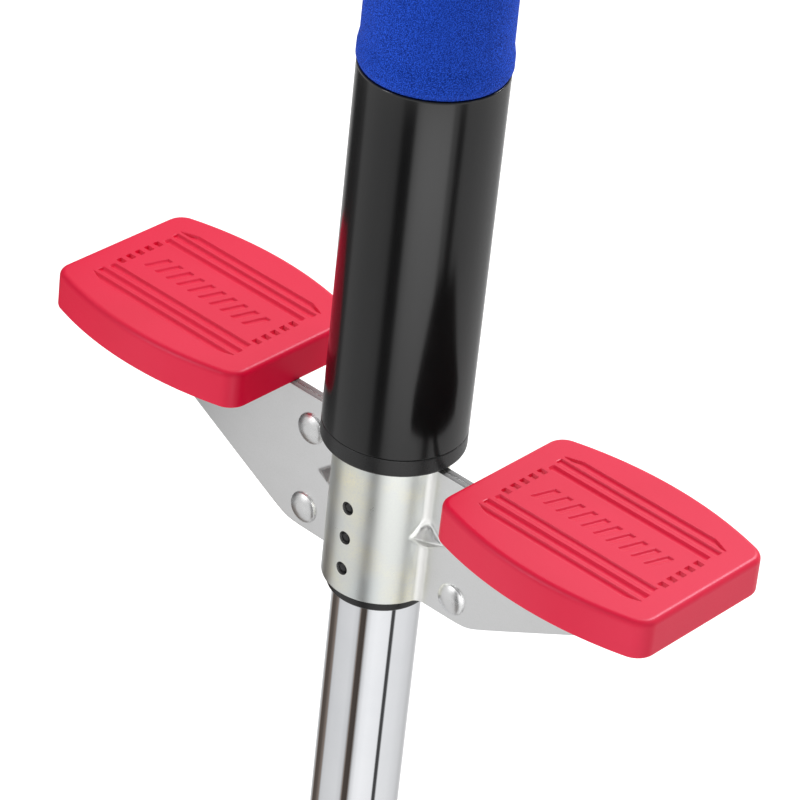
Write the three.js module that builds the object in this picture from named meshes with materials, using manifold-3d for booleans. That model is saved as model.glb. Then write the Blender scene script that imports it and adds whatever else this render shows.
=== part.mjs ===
// A child's pogo stick, as an assembly of its separate pieces.
//
// A chromed plunger tube slides up into a steel body tube against a coil spring. A bracket of two
// riveted sheet plates clamps the foot of the body tube and carries two moulded foot pedals. A black
// shroud and a foam sleeve cover the body tube, and a T handle goes through its top.
//
// Millimetres, +Z up along the stick. The origin is on the floor under the centre of the tip.
// -Y is the front, where the three locking pegs are. +X and -X are the two pedals.

import * as THREE from "three";
import { ConvexGeometry } from "three/addons/geometries/ConvexGeometry.js";
import { mergeVertices } from "three/addons/utils/BufferGeometryUtils.js";
import Module from "manifold-3d";

const wasm = await Module();
wasm.setup();

// ---- Driving dimensions ----

const ROUND = 32; // flats round every turned piece
const SMALL_ROUND = 12; // flats round pins, pegs and screws
const ARC_STEPS = 8; // chords in each arc of a flat outline
const EASE = 0.1; // radial clearance between pieces that share an axis

// Radii of the stick, from the inside out.
const SHAFT_R = 14.8;
const SHAFT_WALL = 2.0;
const BUSH_WALL = 0.9;
const BODY_WALL = 1.0;
const SHEET = 2.0; // thickness of each bracket plate
const BUSH_FLANGE_R = 17.13;
const BUSH_EDGE = 0.6;
const SHROUD_R = 23.7;
const SHROUD_WALL = 1.5;
const FOAM_R = 23.2;
const FOAM_LIP_R = 24.2;

const BUSH_IN_R = SHAFT_R + EASE;
const BUSH_OUT_R = BUSH_IN_R + BUSH_WALL;
const BODY_IN_R = BUSH_OUT_R + EASE;
const BODY_OUT_R = BODY_IN_R + BODY_WALL;
const COLLAR_IN_R = BODY_OUT_R + EASE;
const COLLAR_OUT_R = COLLAR_IN_R + SHEET;

// Heights up the stick.
const TIP_SOLE = 8; // thickness of rubber under the shaft
const WASHER_THICK = 2.5;
const SHAFT_FOOT = TIP_SOLE + WASHER_THICK;
const TIP_TOP = 45;
const BUSH_FOOT = 184.9;
const COLLAR_FOOT = 189.2;
const BRACKET_TOP = 240.7; // top of the wings, where the pedals rest
const COLLAR_TOP = 262;
const SHROUD_FOOT = 242;
const SHROUD_SEAM = 248.5;
const FOAM_FOOT = 377;
const FOAM_TOP = 820;
const TRIM_TOP = 830; // top of the ring that closes the foam
const HANDLE_Z = 885;
const BODY_TOP = 915;
const CAP_TOP = 930;

// Rubber tip: a flared foot under a narrower neck.
const TIP_SOLE_R = 20;
const TIP_FLARE_R = 22;
const TIP_FLARE_LOW = 2;
const TIP_FLARE_HIGH = 12;
const TIP_NECK_LOW_R = 19;
const TIP_NECK_LOW = 20;
const TIP_NECK_R = 18;
const TIP_LIP_R = 17;
const TIP_LIP = 2;

// The sprung stack inside the body tube.
const BUSH_TOP = 249.5;
const BUMPER_TOP = 257;
const STOP_RING_TOP = 269;
const SHAFT_TOP = 290;
const PLUG_TOP = 295;
const SPRING_FOOT = 300;
const SPRING_TOP = 560;
const UPPER_SEAT_TOP = 584;
const CROSS_PIN_Z = 573;
const CROSS_PIN_R = 4;
const PLUG_SPIGOT = 16; // how far the plug goes down into the shaft
const SEAT_BOSS = 7; // how far each seat goes into the spring
const SEAT_BOSS_EASE = 0.9; // between the boss of a seat and the coil
const SEAT_BOSS_TAPER = 1;
const SPRING_MEAN_R = 12.9;
const WIRE_R = 2.0;
const SPRING_TURNS = 24;
const SPRING_END_PITCH = 4.8;
const SPRING_STEPS_A_TURN = 8;
const WIRE_SIDES = 5;

// Bracket wings.
const PLATE_GAP = 0.3; // between the two riveted plates
const WING_END_X = 118;
const WING_KNEE_X = 40.5; // where the lower edge starts to rise
const WING_SLOPE = 0.525;
const BEND_R = 3.2;
const NECK_TRIM = 0.5; // taken off each side of the collar above the wings, to fit the shroud
const FLANGE_START_X = 50;
const FLANGE_REACH = 21;
const RIVET_X = 33.2;
const RIVET_ZS = [228.5, 197.4];
const RIVET_HEAD_R = 5.6;
const RIVET_HEAD_HIGH = 2.2;
const RIVET_DOME = [[0, 0], [0.5, 0.4], [0.85, 1.2]]; // share of the head's radius, drop from the crown
const RIVET_EDGE = 0.3;
const RIVET_LIFT = 0.02; // between a head and the plate
const RIVET_SHANK_R = 2.6;
const PEG_ZS = [222.2, 210.7, 198.7];
const PEG_R = 2.1;
const PEG_HOLE_R = 2.3;
const PEG_CROWN_R = 1.26;
const PEG_CROWN = 0.2; // drop of the peg's end from its middle to the crown's edge
const PEG_EDGE = 0.9;
const PEG_SET_BACK = 0.5; // of each peg's end below the face of the collar
const THROUGH = 2; // how far a cutting tool goes past the face it cuts

// The pressed dart that stiffens each bend of the bracket, with its corners as [x, y].
const DART_Z = 215.1;
const DART_RISE = 6.2;
const DART_DROP = 4.4;
const DART_ON_COLLAR = [17.3, -7.3];
const DART_ON_WING = [28.4, -2.0];
const DART_RIDGE_END = [19.6, -2.9];
const DART_ROOT = [18.4, -1.4]; // inside the sheet

// Pedals.
const PEDAL_X = 86.4;
const PEDAL_HALF_LONG = 42.3;
const PEDAL_HALF_WIDE = 35.8;
const PEDAL_SIDE_R = 127; // bow of the two long sides
const PEDAL_CORNER_R = 7;
const PEDAL_ARC_STEPS = 4; // chords in each corner and each long side
const PEDAL_HIGH = 13.2;
const PEDAL_DRAFT = 0.1; // how much larger the outline is at the bottom
const PEDAL_EDGE_R = 2;
const PEDAL_EDGE_SHARE = 0.3; // where the edge's middle lies, as a share of its radius
const PEDAL_SKIN = 4.5;
const PEDAL_WALL = 3;
const GROOVE_DEEP = 0.9;
const GROOVE_WIDE = 2.6;
const GROOVES = [
  { y: 12.5, halfLong: 31.8 },
  { y: 17.2, halfLong: 32.6 },
];
const EDGE_GROOVE = { innerY: 19.95, outerY: 22.65, halfLong: 33.2, fullHalfLong: 26.5 }; // pointed ends
const DASH_X = 31.85;
const DASH_PITCH = 4.2;
const DASHES = 5;
const DASH_LONG = 2.6;
const DASH_WIDE = 1.9;
const BARS = 10; // slanted bars pressed into the middle of the tread, none of them on its centre
const BAR_PITCH = 5.1;
const BAR_LEAN = 0.32;
const BAR_WIDE = 2;
const BAR_HALF_HIGH = 4.3;
const BAR_DEEP = 0.6;
const BOSS_R = 5;
const LONG_RIB_LOW = 4; // above the pedal's foot
const CROSS_RIB_LOW = 5;
const CROSS_RIB_XS = [-24, 0, 24];
const CROSS_RIB_REACH = 31;
const RIB_THICK = 2;
const SCREW_Y = 12.5;
const SCREW_R = 2;
const SCREW_LONG = 9;
const SCREW_HEAD_R = 4;
const SCREW_HEAD_HIGH = 2.4;
const SCREW_CROWN_R = 2.8;
const SCREW_CROWN_HIGH = 1;
const SCREW_POINT = 1; // length of the cone at its end

// Shroud ring and foam.
const RING_EDGE = 0.8;
const RING_EASE = 0.4; // round the collar
const RING_SPIGOT = 8;
const SPACER_LONG = 10;
const LIP_EDGE = 0.8;
const LIP_SHAPE = [[0, 2], [-0.3, 7]]; // out from the lip's radius, up from the foam's foot
const LIP_FADE = 18; // height at which the lip has run out
const FOAM_END_IN = 1.5;
const FOAM_END_LONG = 3;
const TOP_RING_SIDE = 6;
const TOP_RING_IN = 3;

// Handle.
const BAR_R = 11;
const BAR_WALL = 1.5;
const BAR_HALF_LONG = 132;
const GRIP_R = 16;
const GRIP_START_X = 27;
const GRIP_COLLAR = 3; // how far the collar stands out from the grip
const GRIP_COLLAR_LONG = 4;
const GRIP_DIP = 1; // depth of the dips between ridges
const GRIP_FIRST_DIP = 6;
const GRIP_LAST_DIP = 2;
const END_CAP_IN = 3;
const GRIP_RIDGES = 5;
const BAR_ROUND = 16; // flats round the bar, its grips and their end caps
const END_CAP_THICK = 4;
const END_CAP_PLUG = 14;
const BOLT_R = 3;
const BOLT_HEAD_R = 5.5;
const BOLT_HEAD_HIGH = 3.5;
const BOLT_PAST_NUT = 3;
const BOLT_SEAT = BODY_OUT_R + 3 * EASE; // where the head and nut bear, clear of the round tube
const NUT_HIGH = 4.5;
const CAP_SPIGOT = 12;
const CAP_OVER = 2; // how far the cap stands out over the tube
const CAP_SIDE = 6;
const CAP_EDGE_DROP = 3;
const CAP_CROWN_R = 7.6;

// ---- Materials ----

function finish(color, roughness, metalness) {
  return new THREE.MeshStandardMaterial({ color, roughness, metalness });
}

const chrome = finish(0xdde0e4, 0.08, 1);
const zincCollar = finish(0xc9cbc3, 0.35, 1);
const rivetSteel = finish(0xd4d6d8, 0.28, 1);
const bodySteel = finish(0x6c7075, 0.5, 1);
const springSteel = finish(0x55585c, 0.4, 1);
const boltSteel = finish(0xb4b7ba, 0.35, 1);
const blackGloss = finish(0x0b0b0c, 0.16, 0);
const blackMatte = finish(0x17181a, 0.5, 0);
const redPlastic = finish(0xe22e4c, 0.42, 0);
const blueFoam = finish(0x1c3fb0, 0.9, 0);
const blackRubber = finish(0x151516, 0.75, 0);

// ---- Shapes ----

// A profile of [radius, height] points turned round the Z axis.
function turned(profile, flats = ROUND) {
  const points = profile.map(([radius, height]) => new THREE.Vector2(radius, height));
  return new THREE.LatheGeometry(points, flats).rotateX(Math.PI / 2);
}

function tube(innerR, outerR, foot, top, flats = ROUND) {
  const section = [[innerR, foot], [outerR, foot], [outerR, top], [innerR, top], [innerR, foot]];
  return turned(section, flats);
}

function rod(radius, foot, top, flats = ROUND) {
  return turned([[0, foot], [radius, foot], [radius, top], [0, top]], flats);
}

// A shape drawn flat in X and Y, raised from foot to top.
function raised(shape, foot, top) {
  const settings = { depth: top - foot, bevelEnabled: false, curveSegments: ARC_STEPS };
  return new THREE.ExtrudeGeometry(shape, settings).translate(0, 0, foot);
}

function outline(points) {
  return new THREE.Shape(points.map(([x, y]) => new THREE.Vector2(x, y)));
}

function block(xs, ys, zs) {
  const size = [xs, ys, zs].map(([low, high]) => high - low);
  const middle = [xs, ys, zs].map(([low, high]) => (high + low) / 2);
  return new THREE.BoxGeometry(...size).translate(...middle);
}

// Turns a piece made along Z so that it points along +Y, with its old Z now measured along Y.
function alongY(geometry) {
  return geometry.rotateX(-Math.PI / 2);
}

// The same for +X.
function alongX(geometry) {
  return geometry.rotateY(Math.PI / 2);
}

// ---- Joining and cutting ----

function solid(geometry) {
  const bare = geometry.clone();
  bare.deleteAttribute("normal");
  bare.deleteAttribute("uv");
  const merged = mergeVertices(bare, 1e-4);
  return new wasm.Manifold(
    new wasm.Mesh({
      numProp: 3,
      vertProperties: merged.attributes.position.array,
      triVerts: new Uint32Array(merged.index.array),
    }),
  );
}

function geometryOf(manifold) {
  const mesh = manifold.getMesh();
  const geometry = new THREE.BufferGeometry();
  geometry.setAttribute("position", new THREE.BufferAttribute(mesh.vertProperties, 3));
  geometry.setIndex(new THREE.BufferAttribute(mesh.triVerts, 1));
  geometry.computeVertexNormals();
  return geometry;
}

function cut(body, tools) {
  return geometryOf(tools.reduce((rest, tool) => rest.subtract(solid(tool)), solid(body)));
}

function join(pieces) {
  return geometryOf(pieces.map(solid).reduce((whole, piece) => whole.add(piece)));
}

function common(first, second) {
  return geometryOf(solid(first).intersect(solid(second)));
}

// ---- Plunger: the tube that slides, and what rides on it ----

function shaft() {
  return tube(SHAFT_R - SHAFT_WALL, SHAFT_R, SHAFT_FOOT, SHAFT_TOP);
}

function rubberTip() {
  const socketR = SHAFT_R + EASE;
  return turned([
    [0, 0],
    [TIP_SOLE_R, 0],
    [TIP_FLARE_R, TIP_FLARE_LOW],
    [TIP_FLARE_R, TIP_FLARE_HIGH],
    [TIP_NECK_LOW_R, TIP_NECK_LOW],
    [TIP_NECK_R, TIP_TOP - TIP_LIP],
    [TIP_LIP_R, TIP_TOP],
    [socketR, TIP_TOP],
    [socketR, TIP_SOLE],
    [0, TIP_SOLE],
  ]);
}

function tipWasher() {
  return rod(SHAFT_R - EASE, TIP_SOLE, SHAFT_FOOT);
}

function shaftTopPlug() {
  const spigotR = SHAFT_R - SHAFT_WALL - EASE;
  return turned([
    [0, SHAFT_TOP - PLUG_SPIGOT],
    [spigotR, SHAFT_TOP - PLUG_SPIGOT],
    [spigotR, SHAFT_TOP],
    [SHAFT_R, SHAFT_TOP],
    [SHAFT_R, PLUG_TOP],
    [0, PLUG_TOP],
  ]);
}

function shaftStopRing() {
  return tube(SHAFT_R + EASE / 2, BODY_IN_R - 2 * EASE, BUMPER_TOP, STOP_RING_TOP);
}

// ---- Spring and its seats ----

function springLowerSeat() {
  const bossR = SPRING_MEAN_R - WIRE_R - SEAT_BOSS_EASE;
  return turned([
    [0, PLUG_TOP],
    [BODY_IN_R - 4 * EASE, PLUG_TOP],
    [BODY_IN_R - 4 * EASE, SPRING_FOOT],
    [bossR, SPRING_FOOT],
    [bossR - SEAT_BOSS_TAPER, SPRING_FOOT + SEAT_BOSS],
    [0, SPRING_FOOT + SEAT_BOSS],
  ]);
}

function springUpperSeat() {
  const bossR = SPRING_MEAN_R - WIRE_R - SEAT_BOSS_EASE;
  const seat = turned([
    [0, SPRING_TOP - SEAT_BOSS],
    [bossR - SEAT_BOSS_TAPER, SPRING_TOP - SEAT_BOSS],
    [bossR, SPRING_TOP],
    [BODY_IN_R - 2 * EASE, SPRING_TOP],
    [BODY_IN_R - 2 * EASE, UPPER_SEAT_TOP],
    [0, UPPER_SEAT_TOP],
  ]);
  return cut(seat, [crossPinHole()]);
}

function crossPinHole() {
  const hole = rod(CROSS_PIN_R + EASE, -BODY_OUT_R - THROUGH, BODY_OUT_R + THROUGH, SMALL_ROUND);
  return alongY(hole).translate(0, 0, CROSS_PIN_Z);
}

function springCrossPin() {
  const reach = BODY_OUT_R - 4 * EASE;
  return alongY(rod(CROSS_PIN_R, -reach, reach, SMALL_ROUND)).translate(0, 0, CROSS_PIN_Z);
}

// The wire's centre line: a helix whose first and last turns are nearly closed, as on a ground end.
class CoilLine extends THREE.Curve {
  getPoint(t) {
    const foot = SPRING_FOOT + WIRE_R + EASE;
    const top = SPRING_TOP - WIRE_R - EASE;
    const turn = t * SPRING_TURNS;
    const openPitch = (top - foot - 2 * SPRING_END_PITCH) / (SPRING_TURNS - 2);
    const lowEnd = Math.min(turn, 1) * SPRING_END_PITCH;
    const open = Math.min(Math.max(turn - 1, 0), SPRING_TURNS - 2) * openPitch;
    const highEnd = Math.max(turn - SPRING_TURNS + 1, 0) * SPRING_END_PITCH;
    const angle = turn * 2 * Math.PI;
    const x = SPRING_MEAN_R * Math.cos(angle);
    const y = SPRING_MEAN_R * Math.sin(angle);
    return new THREE.Vector3(x, y, foot + lowEnd + open + highEnd);
  }
}

function mainSpring() {
  const section = new THREE.Shape();
  for (let side = 0; side < WIRE_SIDES; side++) {
    const angle = (side / WIRE_SIDES) * 2 * Math.PI;
    const step = side === 0 ? "moveTo" : "lineTo";
    section[step](WIRE_R * Math.cos(angle), WIRE_R * Math.sin(angle));
  }
  const steps = SPRING_TURNS * SPRING_STEPS_A_TURN;
  return new THREE.ExtrudeGeometry(section, { steps, extrudePath: new CoilLine() });
}

// ---- Body tube and the bush in its foot ----

function pegHoles() {
  return PEG_ZS.map((z) => {
    const hole = rod(PEG_HOLE_R, -COLLAR_OUT_R - THROUGH, -BUSH_IN_R + THROUGH, SMALL_ROUND);
    return alongY(hole).translate(0, 0, z);
  });
}

function handleHole() {
  return alongX(rod(BAR_R + EASE, -BODY_OUT_R - THROUGH, BODY_OUT_R + THROUGH)).translate(0, 0, HANDLE_Z);
}

function boltHole() {
  const hole = rod(BOLT_R + EASE, -BODY_OUT_R - THROUGH, BODY_OUT_R + THROUGH, SMALL_ROUND);
  return alongY(hole).translate(0, 0, HANDLE_Z);
}

function bodyTube() {
  const pipe = tube(BODY_IN_R, BODY_OUT_R, COLLAR_FOOT, BODY_TOP);
  return cut(pipe, [...pegHoles(), crossPinHole(), handleHole(), boltHole()]);
}

function lowerBush() {
  const bush = turned([
    [BUSH_IN_R, BUSH_FOOT],
    [BUSH_FLANGE_R - BUSH_EDGE, BUSH_FOOT],
    [BUSH_FLANGE_R, BUSH_FOOT + BUSH_EDGE],
    [BUSH_FLANGE_R, COLLAR_FOOT],
    [BUSH_OUT_R, COLLAR_FOOT],
    [BUSH_OUT_R, BUSH_TOP],
    [BUSH_IN_R, BUSH_TOP],
    [BUSH_IN_R, BUSH_FOOT],
  ]);
  return cut(bush, pegHoles());
}

function bushPeg(z) {
  const outerEnd = -COLLAR_OUT_R + PEG_SET_BACK;
  const innerEnd = -BUSH_IN_R - 2 * EASE;
  const peg = turned(
    [
      [0, outerEnd],
      [PEG_CROWN_R, outerEnd + PEG_CROWN],
      [PEG_R, outerEnd + PEG_EDGE],
      [PEG_R, innerEnd],
      [0, innerEnd],
    ],
    SMALL_ROUND,
  );
  return alongY(peg).translate(0, 0, z);
}

function reboundBumper() {
  return tube(BUSH_IN_R, BODY_IN_R - 2 * EASE, BUSH_TOP, BUMPER_TOP);
}

// ---- Bracket plates ----

// One plate seen from above: half a collar with a bend at each side and two flat wings.
function plateSection() {
  const near = -PLATE_GAP / 2;
  const far = near - SHEET;
  const bendY = far - BEND_R;
  const bendX = Math.sqrt((COLLAR_OUT_R + BEND_R) ** 2 - bendY ** 2);
  const lean = Math.asin(-bendY / (COLLAR_OUT_R + BEND_R));
  const mouth = Math.asin(-near / COLLAR_IN_R);
  const section = new THREE.Shape();
  section.moveTo(WING_END_X, near);
  section.absarc(0, 0, COLLAR_IN_R, -mouth, mouth - Math.PI, true);
  section.lineTo(-WING_END_X, near);
  section.lineTo(-WING_END_X, far);
  section.absarc(-bendX, bendY, BEND_R, Math.PI / 2, lean, true);
  section.absarc(0, 0, COLLAR_OUT_R, lean - Math.PI, -lean, false);
  section.absarc(bendX, bendY, BEND_R, Math.PI - lean, Math.PI / 2, true);
  section.lineTo(WING_END_X, far);
  return section;
}

// The plate's outline seen from the front.
function plateOutline() {
  const collarSide = COLLAR_OUT_R - NECK_TRIM;
  const endLow = COLLAR_FOOT + WING_SLOPE * (WING_END_X - WING_KNEE_X);
  const right = [
    [WING_KNEE_X, COLLAR_FOOT],
    [WING_END_X, endLow],
    [WING_END_X, BRACKET_TOP],
    [collarSide, BRACKET_TOP],
    [collarSide, COLLAR_TOP],
  ];
  const left = right.map(([x, z]) => [-x, z]).reverse();
  const depth = 2 * COLLAR_OUT_R;
  return raised(outline([...right, ...left]), -depth, depth).rotateX(Math.PI / 2);
}

// The fold along the top of a wing, which the pedal rests on.
function pedalFlange(side) {
  const xs = [side * FLANGE_START_X, side * WING_END_X].sort((a, b) => a - b);
  const flange = block(xs, [-FLANGE_REACH, -PLATE_GAP / 2], [BRACKET_TOP - SHEET, BRACKET_TOP]);
  const hole = rod(SCREW_R + EASE, BRACKET_TOP - 2 * SHEET, BRACKET_TOP + SHEET, SMALL_ROUND);
  return cut(flange, [hole.translate(side * PEDAL_X, -SCREW_Y, 0)]);
}

// A four-faced dart pressed out across the bend between the collar and a wing.
function bendDart(side) {
  const corners = [
    [...DART_ON_COLLAR, DART_Z],
    [...DART_ON_WING, DART_Z],
    [...DART_RIDGE_END, DART_Z + DART_RISE],
    [...DART_RIDGE_END, DART_Z - DART_DROP],
    [...DART_ROOT, DART_Z],
  ];
  return new ConvexGeometry(corners.map(([x, y, z]) => new THREE.Vector3(side * x, y, z)));
}

function rivetHoles() {
  const holes = [];
  for (const side of [-1, 1]) {
    for (const z of RIVET_ZS) {
      const hole = alongY(rod(RIVET_SHANK_R + EASE, -2 * SHEET, 2 * SHEET, SMALL_ROUND));
      holes.push(hole.translate(side * RIVET_X, 0, z));
    }
  }
  return holes;
}

// The front plate. The rear one is the same pressing turned round, without the peg holes.
function bracketPlate(withPegHoles) {
  const bent = common(raised(plateSection(), COLLAR_FOOT, COLLAR_TOP), plateOutline());
  const sides = [-1, 1];
  const whole = join([bent, ...sides.map(pedalFlange), ...sides.map(bendDart)]);
  return cut(whole, [...rivetHoles(), ...(withPegHoles ? pegHoles() : [])]);
}

function rivet(side, z) {
  const face = PLATE_GAP / 2 + SHEET + RIVET_LIFT;
  const crown = face + RIVET_HEAD_HIGH;
  const half = [
    ...RIVET_DOME.map(([share, drop]) => [RIVET_HEAD_R * share, crown - drop]),
    [RIVET_HEAD_R, face + RIVET_EDGE],
    [RIVET_HEAD_R, face],
    [RIVET_SHANK_R, face],
  ];
  const lower = half.map(([radius, height]) => [radius, -height]);
  return alongY(turned([...lower, ...half.reverse()], SMALL_ROUND)).translate(side * RIVET_X, 0, z);
}

// ---- Pedals ----

// The pedal's outline: straight ends, round corners and bowed long sides, all moved out by grow.
function pedalOutline(grow) {
  const bowY = PEDAL_HALF_WIDE - PEDAL_SIDE_R;
  const cornerX = PEDAL_HALF_LONG - PEDAL_CORNER_R;
  const cornerRise = Math.sqrt((PEDAL_SIDE_R - PEDAL_CORNER_R) ** 2 - cornerX ** 2);
  const cornerY = bowY + cornerRise;
  const lean = Math.atan2(cornerRise, cornerX);
  const points = [];
  const arc = (x, y, radius, start, end, skipEnds) => {
    const low = skipEnds ? 1 : 0;
    for (let step = low; step <= PEDAL_ARC_STEPS - low; step++) {
      const angle = start + ((end - start) * step) / PEDAL_ARC_STEPS;
      points.push([x + radius * Math.cos(angle), y + radius * Math.sin(angle)]);
    }
  };
  const cornerR = PEDAL_CORNER_R + grow;
  const sideR = PEDAL_SIDE_R + grow;
  for (const half of [0, Math.PI]) {
    const facing = half === 0 ? 1 : -1;
    arc(facing * cornerX, facing * cornerY, cornerR, half, half + lean, false);
    arc(0, facing * bowY, sideR, half + lean, half + Math.PI - lean, true);
    arc(-facing * cornerX, facing * cornerY, cornerR, half + Math.PI - lean, half + Math.PI, false);
  }
  return points;
}

// A closed solid through pedal outlines, each { grow, z }, from the foot up.
function lofted(levels) {
  const loops = levels.map(({ grow }) => pedalOutline(grow));
  const count = loops[0].length;
  const positions = loops.flatMap((loop, level) => loop.flatMap(([x, y]) => [x, y, levels[level].z]));
  const faces = [];
  for (let start = 0; start < (loops.length - 1) * count; start += count) {
    for (let i = 0; i < count; i++) {
      const here = start + i;
      const next = start + ((i + 1) % count);
      faces.push(here, next, next + count, here, next + count, here + count);
    }
  }
  const flat = loops[0].map(([x, y]) => new THREE.Vector2(x, y));
  const topStart = (loops.length - 1) * count;
  for (const [a, b, c] of THREE.ShapeUtils.triangulateShape(flat, [])) {
    faces.push(c, b, a, topStart + a, topStart + b, topStart + c);
  }
  const geometry = new THREE.BufferGeometry();
  geometry.setAttribute("position", new THREE.Float32BufferAttribute(positions, 3));
  geometry.setIndex(faces);
  return geometry;
}

function treadGrooves(side, zs) {
  const straight = GROOVES.map(({ y, halfLong }) => {
    const ys = [side * y - GROOVE_WIDE / 2, side * y + GROOVE_WIDE / 2];
    return block([-halfLong, halfLong], ys, zs);
  });
  const { innerY, outerY, halfLong, fullHalfLong } = EDGE_GROOVE;
  const pointed = outline([
    [-halfLong, side * innerY],
    [halfLong, side * innerY],
    [fullHalfLong, side * outerY],
    [-fullHalfLong, side * outerY],
  ]);
  return [...straight, raised(pointed, ...zs)];
}

function treadDashes(side, zs) {
  const x = side * DASH_X;
  return Array.from({ length: DASHES }, (_, dash) => {
    const y = (dash - (DASHES - 1) / 2) * DASH_PITCH;
    const ys = [y - DASH_WIDE / 2, y + DASH_WIDE / 2];
    return block([x - DASH_LONG / 2, x + DASH_LONG / 2], ys, zs);
  });
}

function treadBars(zs) {
  const slant = BAR_LEAN * BAR_HALF_HIGH;
  return Array.from({ length: BARS }, (_, bar) => {
    const x = (bar - (BARS - 1) / 2) * BAR_PITCH;
    const left = x - BAR_WIDE / 2;
    const right = x + BAR_WIDE / 2;
    const sloped = outline([
      [left - slant, -BAR_HALF_HIGH],
      [right - slant, -BAR_HALF_HIGH],
      [right + slant, BAR_HALF_HIGH],
      [left + slant, BAR_HALF_HIGH],
    ]);
    return raised(sloped, ...zs);
  });
}

function treadPattern(top) {
  const zs = [top - GROOVE_DEEP, top + THROUGH];
  const sides = [-1, 1].flatMap((side) => [...treadGrooves(side, zs), ...treadDashes(side, zs)]);
  return [...sides, ...treadBars([top - BAR_DEEP, top + THROUGH])];
}

// Ribs and screw bosses under the tread, from just above its ceiling downwards.
function pedalInsides(foot, ceiling) {
  const high = ceiling + RIB_THICK / 2;
  const reach = PEDAL_HALF_LONG - PEDAL_WALL / 2;
  const half = RIB_THICK / 2;
  const pieces = CROSS_RIB_XS.map((x) =>
    block([x - half, x + half], [-CROSS_RIB_REACH, CROSS_RIB_REACH], [foot + CROSS_RIB_LOW, high]),
  );
  for (const side of [-1, 1]) {
    const y = side * SCREW_Y;
    pieces.push(rod(BOSS_R, foot, high, SMALL_ROUND).translate(0, y, 0));
    pieces.push(block([-reach, reach], [y - half, y + half], [foot + LONG_RIB_LOW, high]));
  }
  return pieces;
}

// One moulding: a shell open below, with a boss for each screw and ribs between them.
function pedal() {
  const foot = BRACKET_TOP;
  const top = foot + PEDAL_HIGH;
  const chamfer = PEDAL_EDGE_R * PEDAL_EDGE_SHARE;
  const outside = lofted([
    { grow: PEDAL_DRAFT, z: foot },
    { grow: 0, z: top - PEDAL_EDGE_R },
    { grow: -chamfer, z: top - chamfer },
    { grow: -PEDAL_EDGE_R, z: top },
  ]);
  const ceiling = top - PEDAL_SKIN;
  const hollow = lofted([
    { grow: -PEDAL_WALL, z: foot - THROUGH },
    { grow: -PEDAL_WALL, z: ceiling },
  ]);
  const screwHoles = [-1, 1].map((side) =>
    rod(SCREW_R + EASE, foot - THROUGH, foot + SCREW_LONG, SMALL_ROUND).translate(0, side * SCREW_Y, 0),
  );
  const shell = join([cut(outside, [hollow]), ...pedalInsides(foot, ceiling)]);
  return cut(shell, [...screwHoles, ...treadPattern(top)]);
}

// A pan-head screw that comes up through the flange into a boss of the pedal.
function pedalScrew(x, y) {
  const seat = BRACKET_TOP - SHEET;
  const screw = turned(
    [
      [0, seat - SCREW_HEAD_HIGH],
      [SCREW_CROWN_R, seat - SCREW_HEAD_HIGH],
      [SCREW_HEAD_R, seat - SCREW_HEAD_HIGH + SCREW_CROWN_HIGH],
      [SCREW_HEAD_R, seat],
      [SCREW_R, seat],
      [SCREW_R, BRACKET_TOP + SCREW_LONG - SCREW_POINT],
      [0, BRACKET_TOP + SCREW_LONG],
    ],
    SMALL_ROUND,
  );
  return screw.translate(x, y, 0);
}

// ---- Shroud and foam ----

function shroudLowerRing() {
  const boreR = COLLAR_OUT_R + RING_EASE;
  const spigotR = SHROUD_R - SHROUD_WALL - EASE;
  return turned([
    [boreR, SHROUD_FOOT],
    [SHROUD_R - RING_EDGE, SHROUD_FOOT],
    [SHROUD_R, SHROUD_FOOT + RING_EDGE],
    [SHROUD_R, SHROUD_SEAM],
    [spigotR, SHROUD_SEAM],
    [spigotR, SHROUD_SEAM + RING_SPIGOT],
    [boreR, SHROUD_SEAM + RING_SPIGOT],
    [boreR, SHROUD_FOOT],
  ]);
}

function shroudTube() {
  return tube(SHROUD_R - SHROUD_WALL, SHROUD_R, SHROUD_SEAM, FOAM_FOOT);
}

function shroudUpperSpacer() {
  return tube(BODY_OUT_R + EASE, SHROUD_R - SHROUD_WALL - EASE, FOAM_FOOT - SPACER_LONG, FOAM_FOOT);
}

function foamSleeve() {
  const boreR = BODY_OUT_R + EASE;
  return turned([
    [boreR, FOAM_FOOT],
    [FOAM_LIP_R - LIP_EDGE, FOAM_FOOT],
    ...LIP_SHAPE.map(([out, up]) => [FOAM_LIP_R + out, FOAM_FOOT + up]),
    [FOAM_R, FOAM_FOOT + LIP_FADE],
    [FOAM_R, FOAM_TOP - FOAM_END_LONG],
    [FOAM_R - FOAM_END_IN, FOAM_TOP],
    [boreR, FOAM_TOP],
    [boreR, FOAM_FOOT],
  ]);
}

function foamTopRing() {
  const boreR = BODY_OUT_R + EASE;
  return turned([
    [boreR, FOAM_TOP],
    [FOAM_R, FOAM_TOP],
    [FOAM_R, FOAM_TOP + TOP_RING_SIDE],
    [FOAM_R - TOP_RING_IN, TRIM_TOP],
    [boreR, TRIM_TOP],
    [boreR, FOAM_TOP],
  ]);
}

// ---- Handle ----

function handleBar() {
  const pipe = tube(BAR_R - BAR_WALL, BAR_R, -BAR_HALF_LONG, BAR_HALF_LONG, BAR_ROUND);
  return cut(alongX(pipe).translate(0, 0, HANDLE_Z), [boltHole()]);
}

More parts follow.
